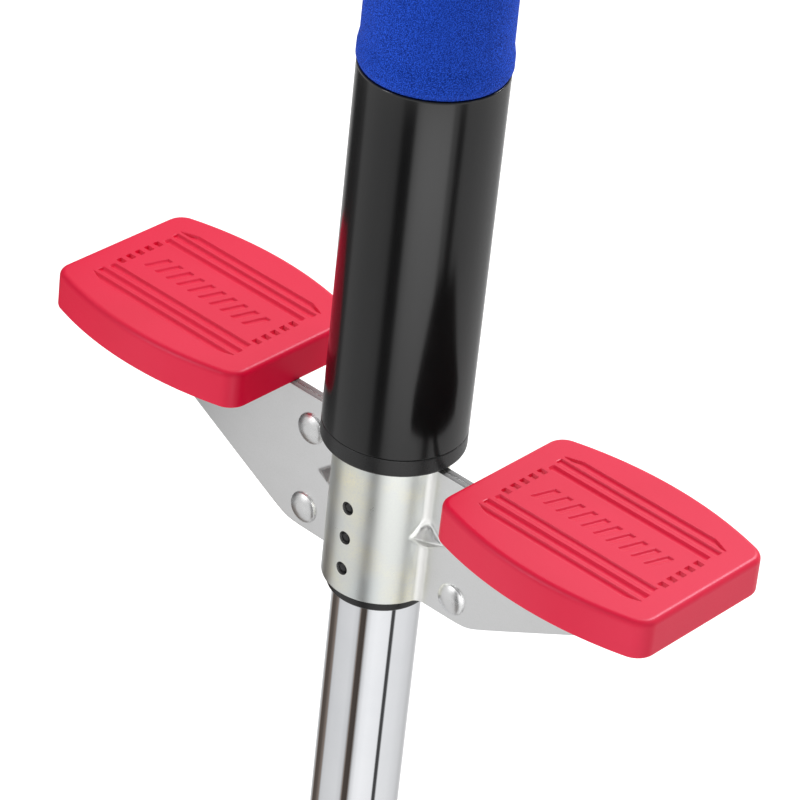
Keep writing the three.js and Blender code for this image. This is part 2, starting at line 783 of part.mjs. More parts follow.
// A ribbed rubber sleeve, made on the +X side.
function grip() {
  const boreR = BAR_R + EASE;
  const collarR = GRIP_R + GRIP_COLLAR;
  const dipR = GRIP_R - GRIP_DIP;
  const first = GRIP_START_X + GRIP_FIRST_DIP;
  const pitch = (BAR_HALF_LONG - GRIP_LAST_DIP - first) / GRIP_RIDGES;
  const profile = [
    [boreR, GRIP_START_X],
    [collarR, GRIP_START_X],
    [collarR, GRIP_START_X + GRIP_COLLAR_LONG],
    [dipR, first],
  ];
  for (let start = first; start < BAR_HALF_LONG - pitch; start += pitch) {
    profile.push([GRIP_R, start + pitch / 3]);
    profile.push([GRIP_R, start + (2 * pitch) / 3]);
    profile.push([dipR, start + pitch]);
  }
  profile.push([dipR, BAR_HALF_LONG]);
  profile.push([boreR, BAR_HALF_LONG]);
  profile.push([boreR, GRIP_START_X]);
  return alongX(turned(profile, BAR_ROUND)).translate(0, 0, HANDLE_Z);
}

function gripEndCap() {
  const plugR = BAR_R - BAR_WALL - EASE;
  const cap = turned(
    [
      [0, BAR_HALF_LONG - END_CAP_PLUG],
      [plugR, BAR_HALF_LONG - END_CAP_PLUG],
      [plugR, BAR_HALF_LONG],
      [GRIP_R, BAR_HALF_LONG],
      [GRIP_R, BAR_HALF_LONG + END_CAP_THICK / 2],
      [GRIP_R - END_CAP_IN, BAR_HALF_LONG + END_CAP_THICK],
      [0, BAR_HALF_LONG + END_CAP_THICK],
    ],
    BAR_ROUND,
  );
  return alongX(cap).translate(0, 0, HANDLE_Z);
}

function topCap() {
  const spigotR = BODY_IN_R - EASE;
  const brimR = BODY_OUT_R + CAP_OVER;
  return turned([
    [0, BODY_TOP - CAP_SPIGOT],
    [spigotR, BODY_TOP - CAP_SPIGOT],
    [spigotR, BODY_TOP],
    [brimR, BODY_TOP],
    [brimR, BODY_TOP + CAP_SIDE],
    [BODY_OUT_R - CAP_OVER, CAP_TOP - CAP_EDGE_DROP],
    [CAP_CROWN_R, CAP_TOP],
    [0, CAP_TOP],
  ]);
}

function handleBolt() {
  const head = rod(BOLT_HEAD_R, -BOLT_SEAT - BOLT_HEAD_HIGH, -BOLT_SEAT, 6);
  const shank = rod(BOLT_R, -BOLT_SEAT - 1, BOLT_SEAT + BOLT_HEAD_HIGH + BOLT_PAST_NUT, SMALL_ROUND);
  return alongY(join([head, shank])).translate(0, 0, HANDLE_Z);
}

function handleNut() {
  const nut = tube(BOLT_R + EASE, BOLT_HEAD_R, BOLT_SEAT, BOLT_SEAT + NUT_HIGH, SMALL_ROUND);
  return alongY(nut).translate(0, 0, HANDLE_Z);
}

// ---- Assembly ----

function add(group, name, geometry, material) {
  const mesh = new THREE.Mesh(geometry, material);
  mesh.name = name;
  group.add(mesh);
  return mesh;
}

function plungerGroup() {
  const group = new THREE.Group();
  add(group, "shaft", shaft(), chrome);
  add(group, "rubber_tip", rubberTip(), blackRubber);
  add(group, "tip_washer", tipWasher(), boltSteel);
  add(group, "shaft_top_plug", shaftTopPlug(), blackMatte);
  add(group, "shaft_stop_ring", shaftStopRing(), boltSteel);
  return group;
}

function springGroup() {
  const group = new THREE.Group();
  add(group, "spring_lower_seat", springLowerSeat(), boltSteel);
  add(group, "main_spring", mainSpring(), springSteel);
  add(group, "spring_upper_seat", springUpperSeat(), blackMatte);
  add(group, "spring_cross_pin", springCrossPin(), boltSteel);
  return group;
}

function bodyGroup() {
  const group = new THREE.Group();
  add(group, "body_tube", bodyTube(), bodySteel);
  add(group, "lower_bush", lowerBush(), blackMatte);
  add(group, "rebound_bumper", reboundBumper(), blackRubber);
  PEG_ZS.forEach((z, index) => add(group, `bush_peg_${index + 1}`, bushPeg(z), blackMatte));
  return group;
}

function bracketGroup() {
  const group = new THREE.Group();
  add(group, "bracket_front", bracketPlate(true), zincCollar);
  add(group, "bracket_rear", bracketPlate(false), zincCollar).rotation.z = Math.PI;
  for (const [word, side] of [["left", -1], ["right", 1]]) {
    add(group, `rivet_${word}_upper`, rivet(side, RIVET_ZS[0]), rivetSteel);
    add(group, `rivet_${word}_lower`, rivet(side, RIVET_ZS[1]), rivetSteel);
  }
  return group;
}

function pedalGroup() {
  const group = new THREE.Group();
  for (const [word, side] of [["left", -1], ["right", 1]]) {
    add(group, `pedal_${word}`, pedal(), redPlastic).position.x = side * PEDAL_X;
    add(group, `pedal_screw_${word}_front`, pedalScrew(side * PEDAL_X, -SCREW_Y), boltSteel);
    add(group, `pedal_screw_${word}_rear`, pedalScrew(side * PEDAL_X, SCREW_Y), boltSteel);
  }
  return group;
}

function coverGroup() {
  const group = new THREE.Group();
  add(group, "shroud_lower_ring", shroudLowerRing(), blackMatte);
  add(group, "shroud_tube", shroudTube(), blackGloss);
  add(group, "shroud_upper_spacer", shroudUpperSpacer(), blackMatte);
  add(group, "foam_sleeve", foamSleeve(), blueFoam);
  add(group, "foam_top_ring", foamTopRing(), blackMatte);
  return group;
}

function handleGroup() {
  const group = new THREE.Group();
  add(group, "handle_bar", handleBar(), chrome);
  for (const [word, turn] of [["left", Math.PI], ["right", 0]]) {
    add(group, `grip_${word}`, grip(), blackRubber).rotation.z = turn;
    add(group, `grip_end_cap_${word}`, gripEndCap(), blackMatte).rotation.z = turn;
  }
  add(group, "handle_bolt", handleBolt(), boltSteel);
  add(group, "handle_nut", handleNut(), boltSteel);
  add(group, "top_cap", topCap(), blackMatte);
  return group;
}

const pogoStick = new THREE.Group();
pogoStick.name = "pogo_stick";
pogoStick.add(plungerGroup(), springGroup(), bodyGroup(), bracketGroup());
pogoStick.add(pedalGroup(), coverGroup(), handleGroup());

export default pogoStick;
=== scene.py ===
"""A child's pogo stick: the fine meshes and the looks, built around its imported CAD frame.

Shapes are worked out in millimetres, in the CAD frame: +Z up along the stick, the origin on the floor
under the tip, -Y the front, and a pedal on +X and on -X. Meshes are written in metres.
"""

import functools
import math

import bmesh
import bpy
import numpy as np
from mathutils import Matrix, Vector


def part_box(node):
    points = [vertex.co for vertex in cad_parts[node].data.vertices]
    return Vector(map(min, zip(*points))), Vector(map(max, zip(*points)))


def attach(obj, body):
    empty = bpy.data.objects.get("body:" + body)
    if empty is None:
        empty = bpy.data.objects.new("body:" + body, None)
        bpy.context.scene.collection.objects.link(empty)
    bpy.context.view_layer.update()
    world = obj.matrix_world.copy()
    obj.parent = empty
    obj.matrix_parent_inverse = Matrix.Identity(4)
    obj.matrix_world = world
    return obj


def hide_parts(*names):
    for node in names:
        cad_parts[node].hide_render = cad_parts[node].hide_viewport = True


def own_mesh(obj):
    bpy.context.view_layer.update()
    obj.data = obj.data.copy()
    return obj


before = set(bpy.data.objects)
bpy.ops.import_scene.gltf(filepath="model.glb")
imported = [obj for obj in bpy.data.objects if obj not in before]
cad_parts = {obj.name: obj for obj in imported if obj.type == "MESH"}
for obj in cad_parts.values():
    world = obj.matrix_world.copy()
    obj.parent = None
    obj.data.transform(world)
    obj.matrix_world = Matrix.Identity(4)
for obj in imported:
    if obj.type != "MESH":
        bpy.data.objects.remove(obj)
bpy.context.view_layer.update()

MM = 0.001
TAU = 2 * math.pi

# ---- Camera ----

CAMERA_TARGET = (0.58, 0.48, 255.99)  # mm
CAMERA_DISTANCE = 1266.95  # mm
CAMERA_AZIMUTH = -50.20  # degrees from +X, as seen from above
CAMERA_ELEVATION = 33.04
CAMERA_ROLL = 6.28  # the top of the stick leans to the right
CAMERA_LENS = 179.64  # mm, on a 36 mm sensor

# ---- Fineness ----

ROUND = 160  # steps round a large turned piece
SMALL_ROUND = 48
FILLET_STEPS = 5
FILLET_SHARE = 0.49  # the most of a profile's side that one fillet takes
SUPPORT = 0.3  # mm from a rounded corner to the edge loop that keeps the next face flat
SHARP = 38  # degrees between faces, from which an edge stays crisp
ON_AXIS = 1e-6  # mm

FIT = 0.1  # mm of room between pieces that fit into each other
SIDES = {"left": -1, "right": 1}


# ---- Sizes read from the frame, in millimetres ----


@functools.cache
def box(node):
    low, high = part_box(node)
    return tuple(value / MM for value in low), tuple(value / MM for value in high)


def foot(node):
    return box(node)[0][2]


def top(node):
    return box(node)[1][2]


def radius(node):
    low, high = box(node)
    return (high[1] - low[1]) / 2


def centre(node):
    low, high = box(node)
    return [(a + b) / 2 for a, b in zip(low, high)]


# ---- Meshes ----


def new_piece(name, vertices, faces, material, sharp=SHARP):
    """A mesh object from millimetre vertices. Edges over sharp degrees stay crisp."""
    mesh = bpy.data.meshes.new(name)
    mesh.from_pydata([tuple(float(c) * MM for c in v) for v in vertices], [], faces)
    mesh.validate()
    mesh.update()
    mesh.materials.append(material)
    return smooth(in_scene(bpy.data.objects.new(name, mesh)), sharp)


def in_scene(thing):
    bpy.context.scene.collection.objects.link(thing)
    return thing


def smooth(piece, sharp=SHARP):
    piece.data.shade_smooth()
    piece.data.set_sharp_from_angle(angle=math.radians(sharp))
    return piece


def settle(piece, node, body="frame"):
    """Puts a finished piece on its body, in place of its CAD node.
    """
    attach(piece, body)
    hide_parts(node)
    return piece


def apply_modifiers(piece):
    depsgraph = bpy.context.evaluated_depsgraph_get()
    mesh = bpy.data.meshes.new_from_object(piece.evaluated_get(depsgraph))
    old = piece.data
    piece.modifiers.clear()
    piece.data = mesh
    mesh.name = piece.name
    bpy.data.meshes.remove(old)
    return piece


def carve(piece, cutter, operation="DIFFERENCE"):
    """Cuts the cutter out of the piece, and removes the cutter."""
    boolean = piece.modifiers.new("carve", "BOOLEAN")
    boolean.operation = operation
    boolean.solver = "EXACT"
    boolean.object = cutter
    apply_modifiers(piece)
    bpy.data.objects.remove(cutter)
    return piece


def join(piece, other):
    return carve(piece, other, "UNION")


def rounded(corners):
    """A profile with its corners filleted. Corners are (radius, height) or (radius, height, fillet)."""
    count = len(corners)
    closed = corners[0][0] > 0
    points = []
    for index, corner in enumerate(corners):
        here = np.array(corner[:2], float)
        fillet = corner[2] if len(corner) > 2 else 0
        if fillet == 0 or (not closed and index in (0, count - 1)):
            points.append(here)
            continue
        before = np.array(corners[index - 1][:2], float) - here
        after = np.array(corners[(index + 1) % count][:2], float) - here
        reach = min(np.linalg.norm(before), np.linalg.norm(after)) * FILLET_SHARE
        before /= np.linalg.norm(before)
        after /= np.linalg.norm(after)
        half = math.acos(float(np.clip(before @ after, -1, 1))) / 2
        tangent = min(fillet / math.tan(half), reach)
        bend = tangent * math.tan(half)
        middle = here + (before + after) / np.linalg.norm(before + after) * (bend / math.sin(half))
        first = here + before * tangent - middle
        last = here + after * tangent - middle
        turn = math.pi - 2 * half
        for step in range(FILLET_STEPS + 1):
            angle = turn * step / FILLET_STEPS
            weight = math.sin(turn - angle) / math.sin(turn), math.sin(angle) / math.sin(turn)
            points.append(middle + first * weight[0] + last * weight[1])
    return supported(points, closed)


def supported(points, closed):
    """Adds an edge loop close to each end of every long straight run, which keeps its shading flat."""
    result = []
    for here, there in round_trip(points) if closed else zip(points, points[1:]):
        length = np.linalg.norm(there - here)
        result.append(here)
        if length > 6 * SUPPORT:
            step = (there - here) / length * SUPPORT
            result.extend([here + step, there - step])
    return result if closed else result + [points[-1]]


def round_trip(ring):
    """Each entry of a ring with the next one."""
    return list(zip(ring, ring[1:] + ring[:1]))


def band(low, high):
    """Quads between two rings of points."""
    return [(a, b, d, c) for (a, b), (c, d) in zip(round_trip(low), round_trip(high))]


def loft(rings, count, ends=True):
    """Faces through rings of count points each, stored one after the other, with flat ends if any."""
    rows = [list(range(ring * count, (ring + 1) * count)) for ring in range(rings)]
    faces = [face for low, high in zip(rows, rows[1:]) for face in band(low, high)]
    return faces + [tuple(rows[0][::-1]), tuple(rows[-1])] if ends else faces


def revolve(name, profile, material, steps=ROUND, axis="Z", at=(0, 0, 0), wave=None, sharp=SHARP):
    """Turns a profile round an axis. It closes on itself, unless it starts and ends on the axis.

    wave(angle, radius, height) may move a point in or out.
    """
    vertices, rings = [], []
    for r, h in profile:
        if r < ON_AXIS:
            rings.append([len(vertices)])
            vertices.append((0.0, 0.0, h))
            continue
        start = len(vertices)
        rings.append(list(range(start, start + steps)))
        for step in range(steps):
            angle = TAU * step / steps
            reach = r + (wave(angle, r, h) if wave else 0)
            vertices.append((reach * math.cos(angle), reach * math.sin(angle), h))
    faces = []
    pairs = list(zip(rings, rings[1:] + rings[:1]))
    for low, high in pairs[:-1] if profile[0][0] < ON_AXIS else pairs:
        if len(low) == 1:
            faces += [(low[0], after, here) for here, after in round_trip(high)]
        elif len(high) == 1:
            faces += [(here, after, high[0]) for here, after in round_trip(low)]
        else:
            faces += band(low, high)
    turned_points = [turn_to(axis, vertex, at) for vertex in vertices]
    return new_piece(name, turned_points, faces, material, sharp)


def turned(node, corners, material, body="frame", **options):
    """A turned piece with rounded corners, in place of a CAD node."""
    return settle(revolve(node + "_fine", rounded(corners), material, **options), node, body)


def tube(bore, outer, low, high, inner_edge=0.3, outer_edge=0.5):
    """The corners of a plain tube."""
    half = [(bore, low, inner_edge), (outer, low, outer_edge)]
    return half + [(outer, high, outer_edge), (bore, high, inner_edge)]


def turn_to(axis, vertex, at):
    """Lays a point made about Z along +X or +Y instead, and moves it."""
    x, y, z = vertex
    if axis == "Y":
        x, y, z = x, z, -y
    elif axis == "X":
        x, y, z = z, y, -x
    return x + at[0], y + at[1], z + at[2]


def block(xs, ys, zs, material):
    """A plain box, only used to cut with or to join on."""
    corners = [(x, y, z) for z in zs for y in ys for x in xs]
    faces = [(0, 2, 3, 1), (4, 5, 7, 6), (0, 1, 5, 4), (2, 6, 7, 3), (0, 4, 6, 2), (1, 3, 7, 5)]
    return new_piece("block", corners, faces, material)


def drill(piece, r, axis, at, reach):
    """Cuts a round hole along an axis, reach millimetres each way from at."""
    rod = [(0, -reach), (r, -reach), (r, reach), (0, reach)]
    return carve(piece, revolve("rod", rod, piece.data.materials[0], SMALL_ROUND, axis, at))


def scaled(colour, factor):
    return tuple(c * factor for c in colour)


# ---- Material nodes ----


class Look:
    """A material's node tree, with short calls for the nodes that the looks share."""

    def __init__(self, name, **shader):
        self.material = bpy.data.materials.new(name)
        self.material.use_nodes = True
        self.nodes = self.material.node_tree.nodes
        self.shader = self.nodes["Principled BSDF"]
        self.place = self.nodes.new("ShaderNodeTexCoord").outputs["Object"]
        for socket, value in shader.items():
            self.set(socket.replace("_", " "), value)

    def set(self, socket, value):
        self.feed(self.shader.inputs[socket], value)

    def feed(self, socket, value):
        """Links a socket, or sets a value. A colour may leave out its alpha."""
        if isinstance(value, bpy.types.NodeSocket):
            self.material.node_tree.links.new(value, socket)
        elif socket.type == "RGBA" and len(value) == 3:
            socket.default_value = (*value, 1.0)
        else:
            socket.default_value = value

    def add(self, kind, **inputs):
        node = self.nodes.new("ShaderNode" + kind)
        for name, value in inputs.items():
            self.feed(node.inputs[name.replace("_", " ")], value)
        return node

    def noise(self, scale, detail, rough, height_scale=1.0):
        """Fine variation. Scale is in turns per metre."""
        place = self.add("Mapping", Vector=self.place, Scale=(1.0, 1.0, height_scale)).outputs[0]
        return self.add("TexNoise", Vector=place, Scale=scale, Detail=detail, Roughness=rough).outputs[0]

    def remap(self, value, low, high, start=0.0, end=1.0):
        """Takes values from low to high onto start to end, and holds them there."""
        limits = {"From_Min": low, "From_Max": high, "To_Min": start, "To_Max": end}
        return self.add("MapRange", Value=value, **limits).outputs[0]

    def mark(self, name):
        """A value stored on the mesh, 0 where a mesh has none."""
        node = self.add("Attribute")
        node.attribute_name = name
        return node.outputs["Fac"]

    def off_axis(self, start, end):
        """0 up to start, in metres left or right of the stick's axis, rising to 1 at end."""
        x = self.add("SeparateXYZ", Vector=self.place).outputs[0]
        return self.remap(self.maths("ABSOLUTE", x), start, end)

    def mix(self, factor, first, second):
        node = self.nodes.new("ShaderNodeMix")
        node.data_type = "RGBA"
        self.feed(node.inputs[0], factor)
        self.feed(node.inputs[6], first)
        self.feed(node.inputs[7], second)
        return node.outputs[2]

    def maths(self, operation, first, second=0.0):
        node = self.nodes.new("ShaderNodeMath")
        node.operation = operation
        self.feed(node.inputs[0], first)
        self.feed(node.inputs[1], second)
        return node.outputs[0]

    def colour(self, value, low, high, first, second):
        """Takes the base colour from first to second as value goes from low to high."""
        self.set("Base Color", self.mix(self.remap(value, low, high), first, second))

    def roughness(self, value, low, high, start, end):
        self.set("Roughness", self.remap(value, low, high, start, end))

    def bump(self, height, depth, strength=1.0):
        """Raises the surface by height, a value from 0 to 1, times depth in millimetres."""
        node = self.add("Bump", Height=height, Distance=depth * MM, Strength=strength)
        self.set("Normal", node.outputs[0])


# ---- Materials ----


def chrome_look():
    look = Look("chrome_plate", Metallic=1.0)
    smudge = look.noise(38, 5, 0.6)
    look.colour(smudge, 0.3, 0.7, (0.93, 0.94, 0.965), (0.87, 0.885, 0.915))
    look.roughness(smudge, 0.3, 0.75, 0.035, 0.075)
    look.bump(look.noise(2600, 3, 0.6), 0.002)
    return look.material


def zinc_look(name, tone, rough):
    """Bright zinc plate: a fine grain, a weak coloured bloom on the collar, and rougher cut edges and
    bends. The cut edges are painted dark, partly for a sheared edge and partly as painted shade, and the
    bends and darts are painted pale, a painted highlight.
    """
    look = Look(name, Metallic=1.0)
    bloom = look.noise(46, 3, 0.55)
    other = look.noise(31, 2, 0.5, 0.6)
    cloud = look.noise(140, 4, 0.6)
    grain = look.noise(1500, 4, 0.7)
    base, yellow = scaled((0.965, 0.992, 0.95), tone), scaled((1.12, 1.08, 0.85), tone)
    blue, dull = scaled((0.87, 0.97, 1.02), tone), scaled((0.93, 0.94, 0.93), tone)
    tint = look.mix(look.remap(bloom, 0.42, 0.66), base, yellow)
    tint = look.mix(look.remap(other, 0.5, 0.72), tint, blue)
    tint = look.mix(look.off_axis(0.019, 0.024), tint, scaled((0.98, 0.98, 0.985), tone))
    tint = look.mix(look.remap(grain, 0.42, 0.72, 0.0, 0.7), tint, dull)
    # painted light: cut edges painted dark (a rougher sheared edge, and painted shade for the shadow they
    # reflect); bends and darts painted pale, a painted highlight
    cut, bend = look.mark("cut"), look.mark("bend")
    look.set("Base Color", look.mix(cut, look.mix(bend, tint, (1.0, 1.0, 0.98)), (0.27, 0.27, 0.27)))
    cut_and_bend_roughness = look.maths("MULTIPLY", look.maths("ADD", cut, bend), 0.27)
    speckle = look.maths("ADD", look.remap(grain, 0.3, 0.7, -0.03, 0.03), cut_and_bend_roughness)
    patches = look.remap(cloud, 0.3, 0.7, rough - 0.03, rough + 0.03)
    look.set("Roughness", look.maths("ADD", speckle, patches))
    look.bump(cloud, 0.008)
    return look.material


def steel_look(name, colour, rough, grain_depth=0.006):
    look = Look(name, Metallic=1.0)
    grain = look.noise(1800, 4, 0.7)
    look.colour(look.noise(60, 4, 0.6), 0.35, 0.7, colour, scaled(colour, 0.78))
    look.roughness(grain, 0.3, 0.7, rough - 0.05, rough + 0.07)
    look.bump(grain, grain_depth)
    return look.material


def gloss_cover_look():
    """Black gloss plastic with the faintest orange peel and a few soft rub marks."""
    look = Look("black_gloss_cover", IOR=1.5)
    rub = look.noise(24, 5, 0.65, 0.35)
    look.colour(rub, 0.4, 0.75, (0.0045, 0.0045, 0.0048), (0.008, 0.008, 0.008))
    look.roughness(rub, 0.35, 0.75, 0.14, 0.2)
    look.bump(look.noise(190, 2, 0.5), 0.006)
    return look.material


def moulding_look(name, colour, rough, grain_scale, grain_depth):
    """Satin injection moulding: a fine spark-eroded grain and a slow change of tone."""
    look = Look(name, IOR=1.48)
    grain = look.noise(grain_scale, 3, 0.6)
    paler = tuple(c * 1.12 + 0.004 for c in colour)
    look.colour(look.noise(28, 3, 0.5), 0.35, 0.7, colour, paler)
    look.roughness(grain, 0.3, 0.7, rough - 0.04, rough + 0.05)
    look.bump(grain, grain_depth)
    return look.material


def red_look():
    """Satin red moulding with a cool, weak sheen and a fine spark-eroded grain."""
    look = Look("red_moulding", IOR=1.48, Specular_Tint=(0.8, 0.8, 1.0, 1.0))
    sheen_past_stick_shade = look.off_axis(0.0443, 0.0457)  # painted shade: the sheen is turned down at the ends next to the stick, where the stick's shade falls
    look.set("Specular IOR Level", look.remap(sheen_past_stick_shade, 0.0, 1.0, 0.06, 0.42))
    grain = look.noise(1500, 3, 0.6)
    look.colour(look.noise(28, 3, 0.5), 0.35, 0.7, (0.79, 0.0033, 0.040), (0.83, 0.0052, 0.048))
    look.roughness(grain, 0.3, 0.7, 0.35, 0.45)
    look.bump(grain, 0.008)
    return look.material


def foam_look():
    """Closed-cell foam: a dense speckle of cut cells, matte all over."""
    look = Look("blue_foam", IOR=1.3, Specular_IOR_Level=0.15, Sheen_Weight=0.01, Sheen_Roughness=0.6)
    cells = look.add("TexVoronoi", Vector=look.place, Scale=1500.0).outputs["Distance"]
    speckle = look.noise(3000, 2, 0.7)
    shade = look.remap(look.noise(42, 4, 0.6), 0.35, 0.7, 0.0, 0.3)
    tone = look.mix(look.remap(speckle, 0.43, 0.59), (0.003, 0.022, 0.21), (0.027, 0.120, 0.86))
    look.set("Base Color", look.mix(shade, tone, (0.009, 0.056, 0.46)))
    look.roughness(speckle, 0.3, 0.7, 0.82, 0.98)
    look.bump(look.maths("ADD", look.maths("MULTIPLY", cells, 1.4), speckle), 0.22, 0.8)
    return look.material


def rubber_look():
    """Black rubber with a little pale dust."""
    look = Look("black_rubber", IOR=1.45)
    dust = look.noise(70, 5, 0.65)
    look.colour(dust, 0.45, 0.8, (0.011, 0.011, 0.012), (0.03, 0.029, 0.028))
    look.roughness(dust, 0.3, 0.75, 0.5, 0.72)
    look.bump(look.noise(1300, 4, 0.65), 0.03)
    return look.material


CHROME = chrome_look()
ZINC = zinc_look("zinc_plate", 0.87, 0.32)
RIVET_STEEL = zinc_look("rivet_steel", 0.86, 0.3)
BOLT_STEEL = steel_look("bolt_steel", (0.62, 0.62, 0.63), 0.3)
SPRING_STEEL = steel_look("spring_steel", (0.22, 0.225, 0.24), 0.34, 0.012)
BODY_STEEL = moulding_look("body_steel", (0.012, 0.012, 0.013), 0.3, 600, 0.01)
GLOSS_COVER = gloss_cover_look()
BLACK_MOULDING = moulding_look("black_moulding", (0.009, 0.009, 0.0095), 0.3, 1100, 0.006)
RED_MOULDING = red_look()
BLUE_FOAM = foam_look()
BLACK_RUBBER = rubber_look()

CAD_NODE_LOOKS = {
    BOLT_STEEL: ("tip_washer", "shaft_stop_ring", "spring_lower_seat", "spring_cross_pin"),
    BLACK_MOULDING: ("shaft_top_plug", "spring_upper_seat", "shroud_upper_spacer"),
    BLACK_RUBBER: ("rebound_bumper",),
}


def dress_cad_nodes():
    for material, nodes in CAD_NODE_LOOKS.items():
        for node in nodes:
            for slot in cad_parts[node].material_slots:
                slot.material = material


# ---- Plunger ----

SHAFT_R = radius("shaft")
SHAFT_WALL = 2.0


def make_shaft():
    turned("shaft", tube(SHAFT_R - SHAFT_WALL, SHAFT_R, foot("shaft"), top("shaft")), CHROME, "plunger")


def make_rubber_tip():
    """A flared foot with two rings round it and concentric grooves in its sole."""
    wide, high, sole = radius("rubber_tip"), top("rubber_tip"), foot("tip_washer")
    socket = SHAFT_R + FIT
    corners = [(0, 0)]
    for at in (5.0, 10.0, 15.0):
        corners += [(at - 0.9, 0, 0.2), (at - 0.5, 1.4, 0.3), (at + 0.5, 1.4, 0.3), (at + 0.9, 0, 0.2)]
    corners += [(wide - 2.2, 0, 1.0), (wide, 2.6, 1.4), (wide, 11, 2.0), (wide - 3, 19, 3.0)]
    for ring in (24, 30):
        corners += [(wide - 3.4, ring, 0.5), (wide - 2.6, ring + 1, 0.5), (wide - 2.6, ring + 3, 0.5)]
        corners += [(wide - 3.6, ring + 4, 0.5)]
    corners += [(wide - 4.1, high - 0.2, 1.3), (socket, high, 0.4), (socket, sole, 0.2), (0, sole)]
    turned("rubber_tip", corners, BLACK_RUBBER, "plunger")


# ---- Spring ----

WIRE_R = 2.0
WIRE_SIDES = 14
TURNS = 24
STEPS_A_TURN = 36
END_PITCH = 4.8  # mm a turn at both ends


def make_spring():
    """Round wire wound between its seats, with a nearly closed turn at each end."""
    low, high = foot("main_spring"), top("main_spring")
    mean = radius("main_spring") - WIRE_R - 0.05
    climb = high - low - 2 * WIRE_R
    open_pitch = (climb - 2 * END_PITCH) / (TURNS - 2)
    vertices = []
    for step in range(TURNS * STEPS_A_TURN + 1):
        turn = step / STEPS_A_TURN
        rise = np.interp(turn, (0, 1, TURNS - 1, TURNS), (0, END_PITCH, climb - END_PITCH, climb))
        angle = turn * TAU
        out = Vector((math.cos(angle), math.sin(angle), 0))
        pitch = open_pitch if 1 < turn < TURNS - 1 else END_PITCH
        along = Vector((-math.sin(angle) * mean * TAU, math.cos(angle) * mean * TAU, pitch)).normalized()
        across = along.cross(out)
        middle = out * mean + Vector((0, 0, low + WIRE_R + rise))
        for side in range(WIRE_SIDES):
            around = TAU * side / WIRE_SIDES
            reach = out * (WIRE_R * math.cos(around)) + across * (WIRE_R * math.sin(around))
            vertices.append(middle + reach)
    faces = [face[::-1] for face in loft(TURNS * STEPS_A_TURN + 1, WIRE_SIDES)]
    piece = settle(new_piece("main_spring_fine", vertices, faces, SPRING_STEEL), "main_spring")
    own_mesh(piece)


# ---- Body tube, bush and pegs ----

BODY_R = radius("body_tube")
BODY_WALL = 1.0
BAR_Z = centre("handle_bar")[2]
BOLT_R = 3.0
BOLT_HOLE_R = 3.1
PIN_HOLE_R = 4.1
PEG_HOLE_R = 2.3
PEG_NODES = ["bush_peg_1", "bush_peg_2", "bush_peg_3"]
PEG_ZS = [centre(node)[2] for node in PEG_NODES]


def make_body_tube():
    corners = tube(BODY_R - BODY_WALL, BODY_R, foot("body_tube"), top("body_tube"), 0.2, 0.3)
    piece = revolve("body_tube_fine", rounded(corners), BODY_STEEL)
    through = BODY_R + 4
    drill(piece, radius("handle_bar") + FIT, "X", (0, 0, BAR_Z), through)
    drill(piece, BOLT_HOLE_R, "Y", (0, 0, BAR_Z), through)
    drill(piece, PIN_HOLE_R, "Y", (0, 0, centre("spring_cross_pin")[2]), through)
    for z in PEG_ZS:
        drill(piece, PEG_HOLE_R, "Y", (0, -BODY_R, z), 3)
    settle(smooth(piece), "body_tube")


def make_bush():
    low, high = foot("lower_bush"), top("lower_bush")
    flange_top = foot("body_tube")
    bore, sleeve, flange = SHAFT_R + FIT, SHAFT_R + 1.0, radius("lower_bush")
    corners = [(bore, low, 0.4), (flange, low, 0.9), (flange, flange_top, 0.2), (sleeve, flange_top),
               (sleeve, high, 0.2), (bore, high, 0.2)]
    piece = revolve("lower_bush_fine", rounded(corners), BLACK_MOULDING)
    for z in PEG_ZS:
        drill(piece, PEG_HOLE_R, "Y", (0, -sleeve, z), 3)
    settle(smooth(piece), "lower_bush")


def make_pegs():
    """Moulded pegs with domed ends, set a little below the face of the collar."""
    for node, z in zip(PEG_NODES, PEG_ZS):
        low, high = box(node)
        r = (high[0] - low[0]) / 2
        corners = [(0, low[1]), (r * 0.55, low[1] + 0.15, 0.8), (r, low[1] + 0.9, 0.6),
                   (r, high[1], 0.3), (0, high[1])]
        turned(node, corners, BLACK_MOULDING, steps=SMALL_ROUND, axis="Y", at=(0, 0, z))


# ---- Bracket plates ----

SHEET = 2.0
PLATE_NEAR = 0.15  # from the middle plane to the inner face of each plate
COLLAR_R = BODY_R + FIT + SHEET
BEND_R = 3.2
WING_FACE = PLATE_NEAR + SHEET
WING_KNEE_X = 40.5
WING_SLOPE = 0.525
KNEE_SOFTNESS = 3.0
FLANGE_START_X = 50.0
FLANGE_CORNER_R = 6.0
COLLAR_STEP = 0.75
BEND_STEPS = 16
BEND_ROWS = 8  # rows of points round the bend into the flange
FLANGE_ROWS = 16  # from there to the flange's outer edge
ROW_STEP = 0.5
PATCH_COLUMNS, PATCH_ROWS = 4, 6  # how far a peg hole's patch of the grid reaches each way
BEND_HIGHLIGHT = (18.3, 19.3, 21.0, 21.8), (0.0, 1.0, 1.0, 0.0)  # how strongly the bends are painted pale at each |x|: a painted highlight, with more roughness
# How strongly the darts are painted pale: a painted highlight.
DART_HIGHLIGHT = 0.4
DART_Z = 215.1
DART_TOP_Z = 221.3
DART_FOOT_Z = 210.7
DART_TIP = (19.7, -2.9)  # |x| and y of the dart's corners: top and foot, then collar, then wing
DART_COLLAR_END = (17.4, -7.5)
DART_WING_END = (28.6, -WING_FACE)
DART_OUT = (0.75, -0.66, 0.0)
DART_SOFT = 0.12  # how softly the dart's faces run into each other and into the plate


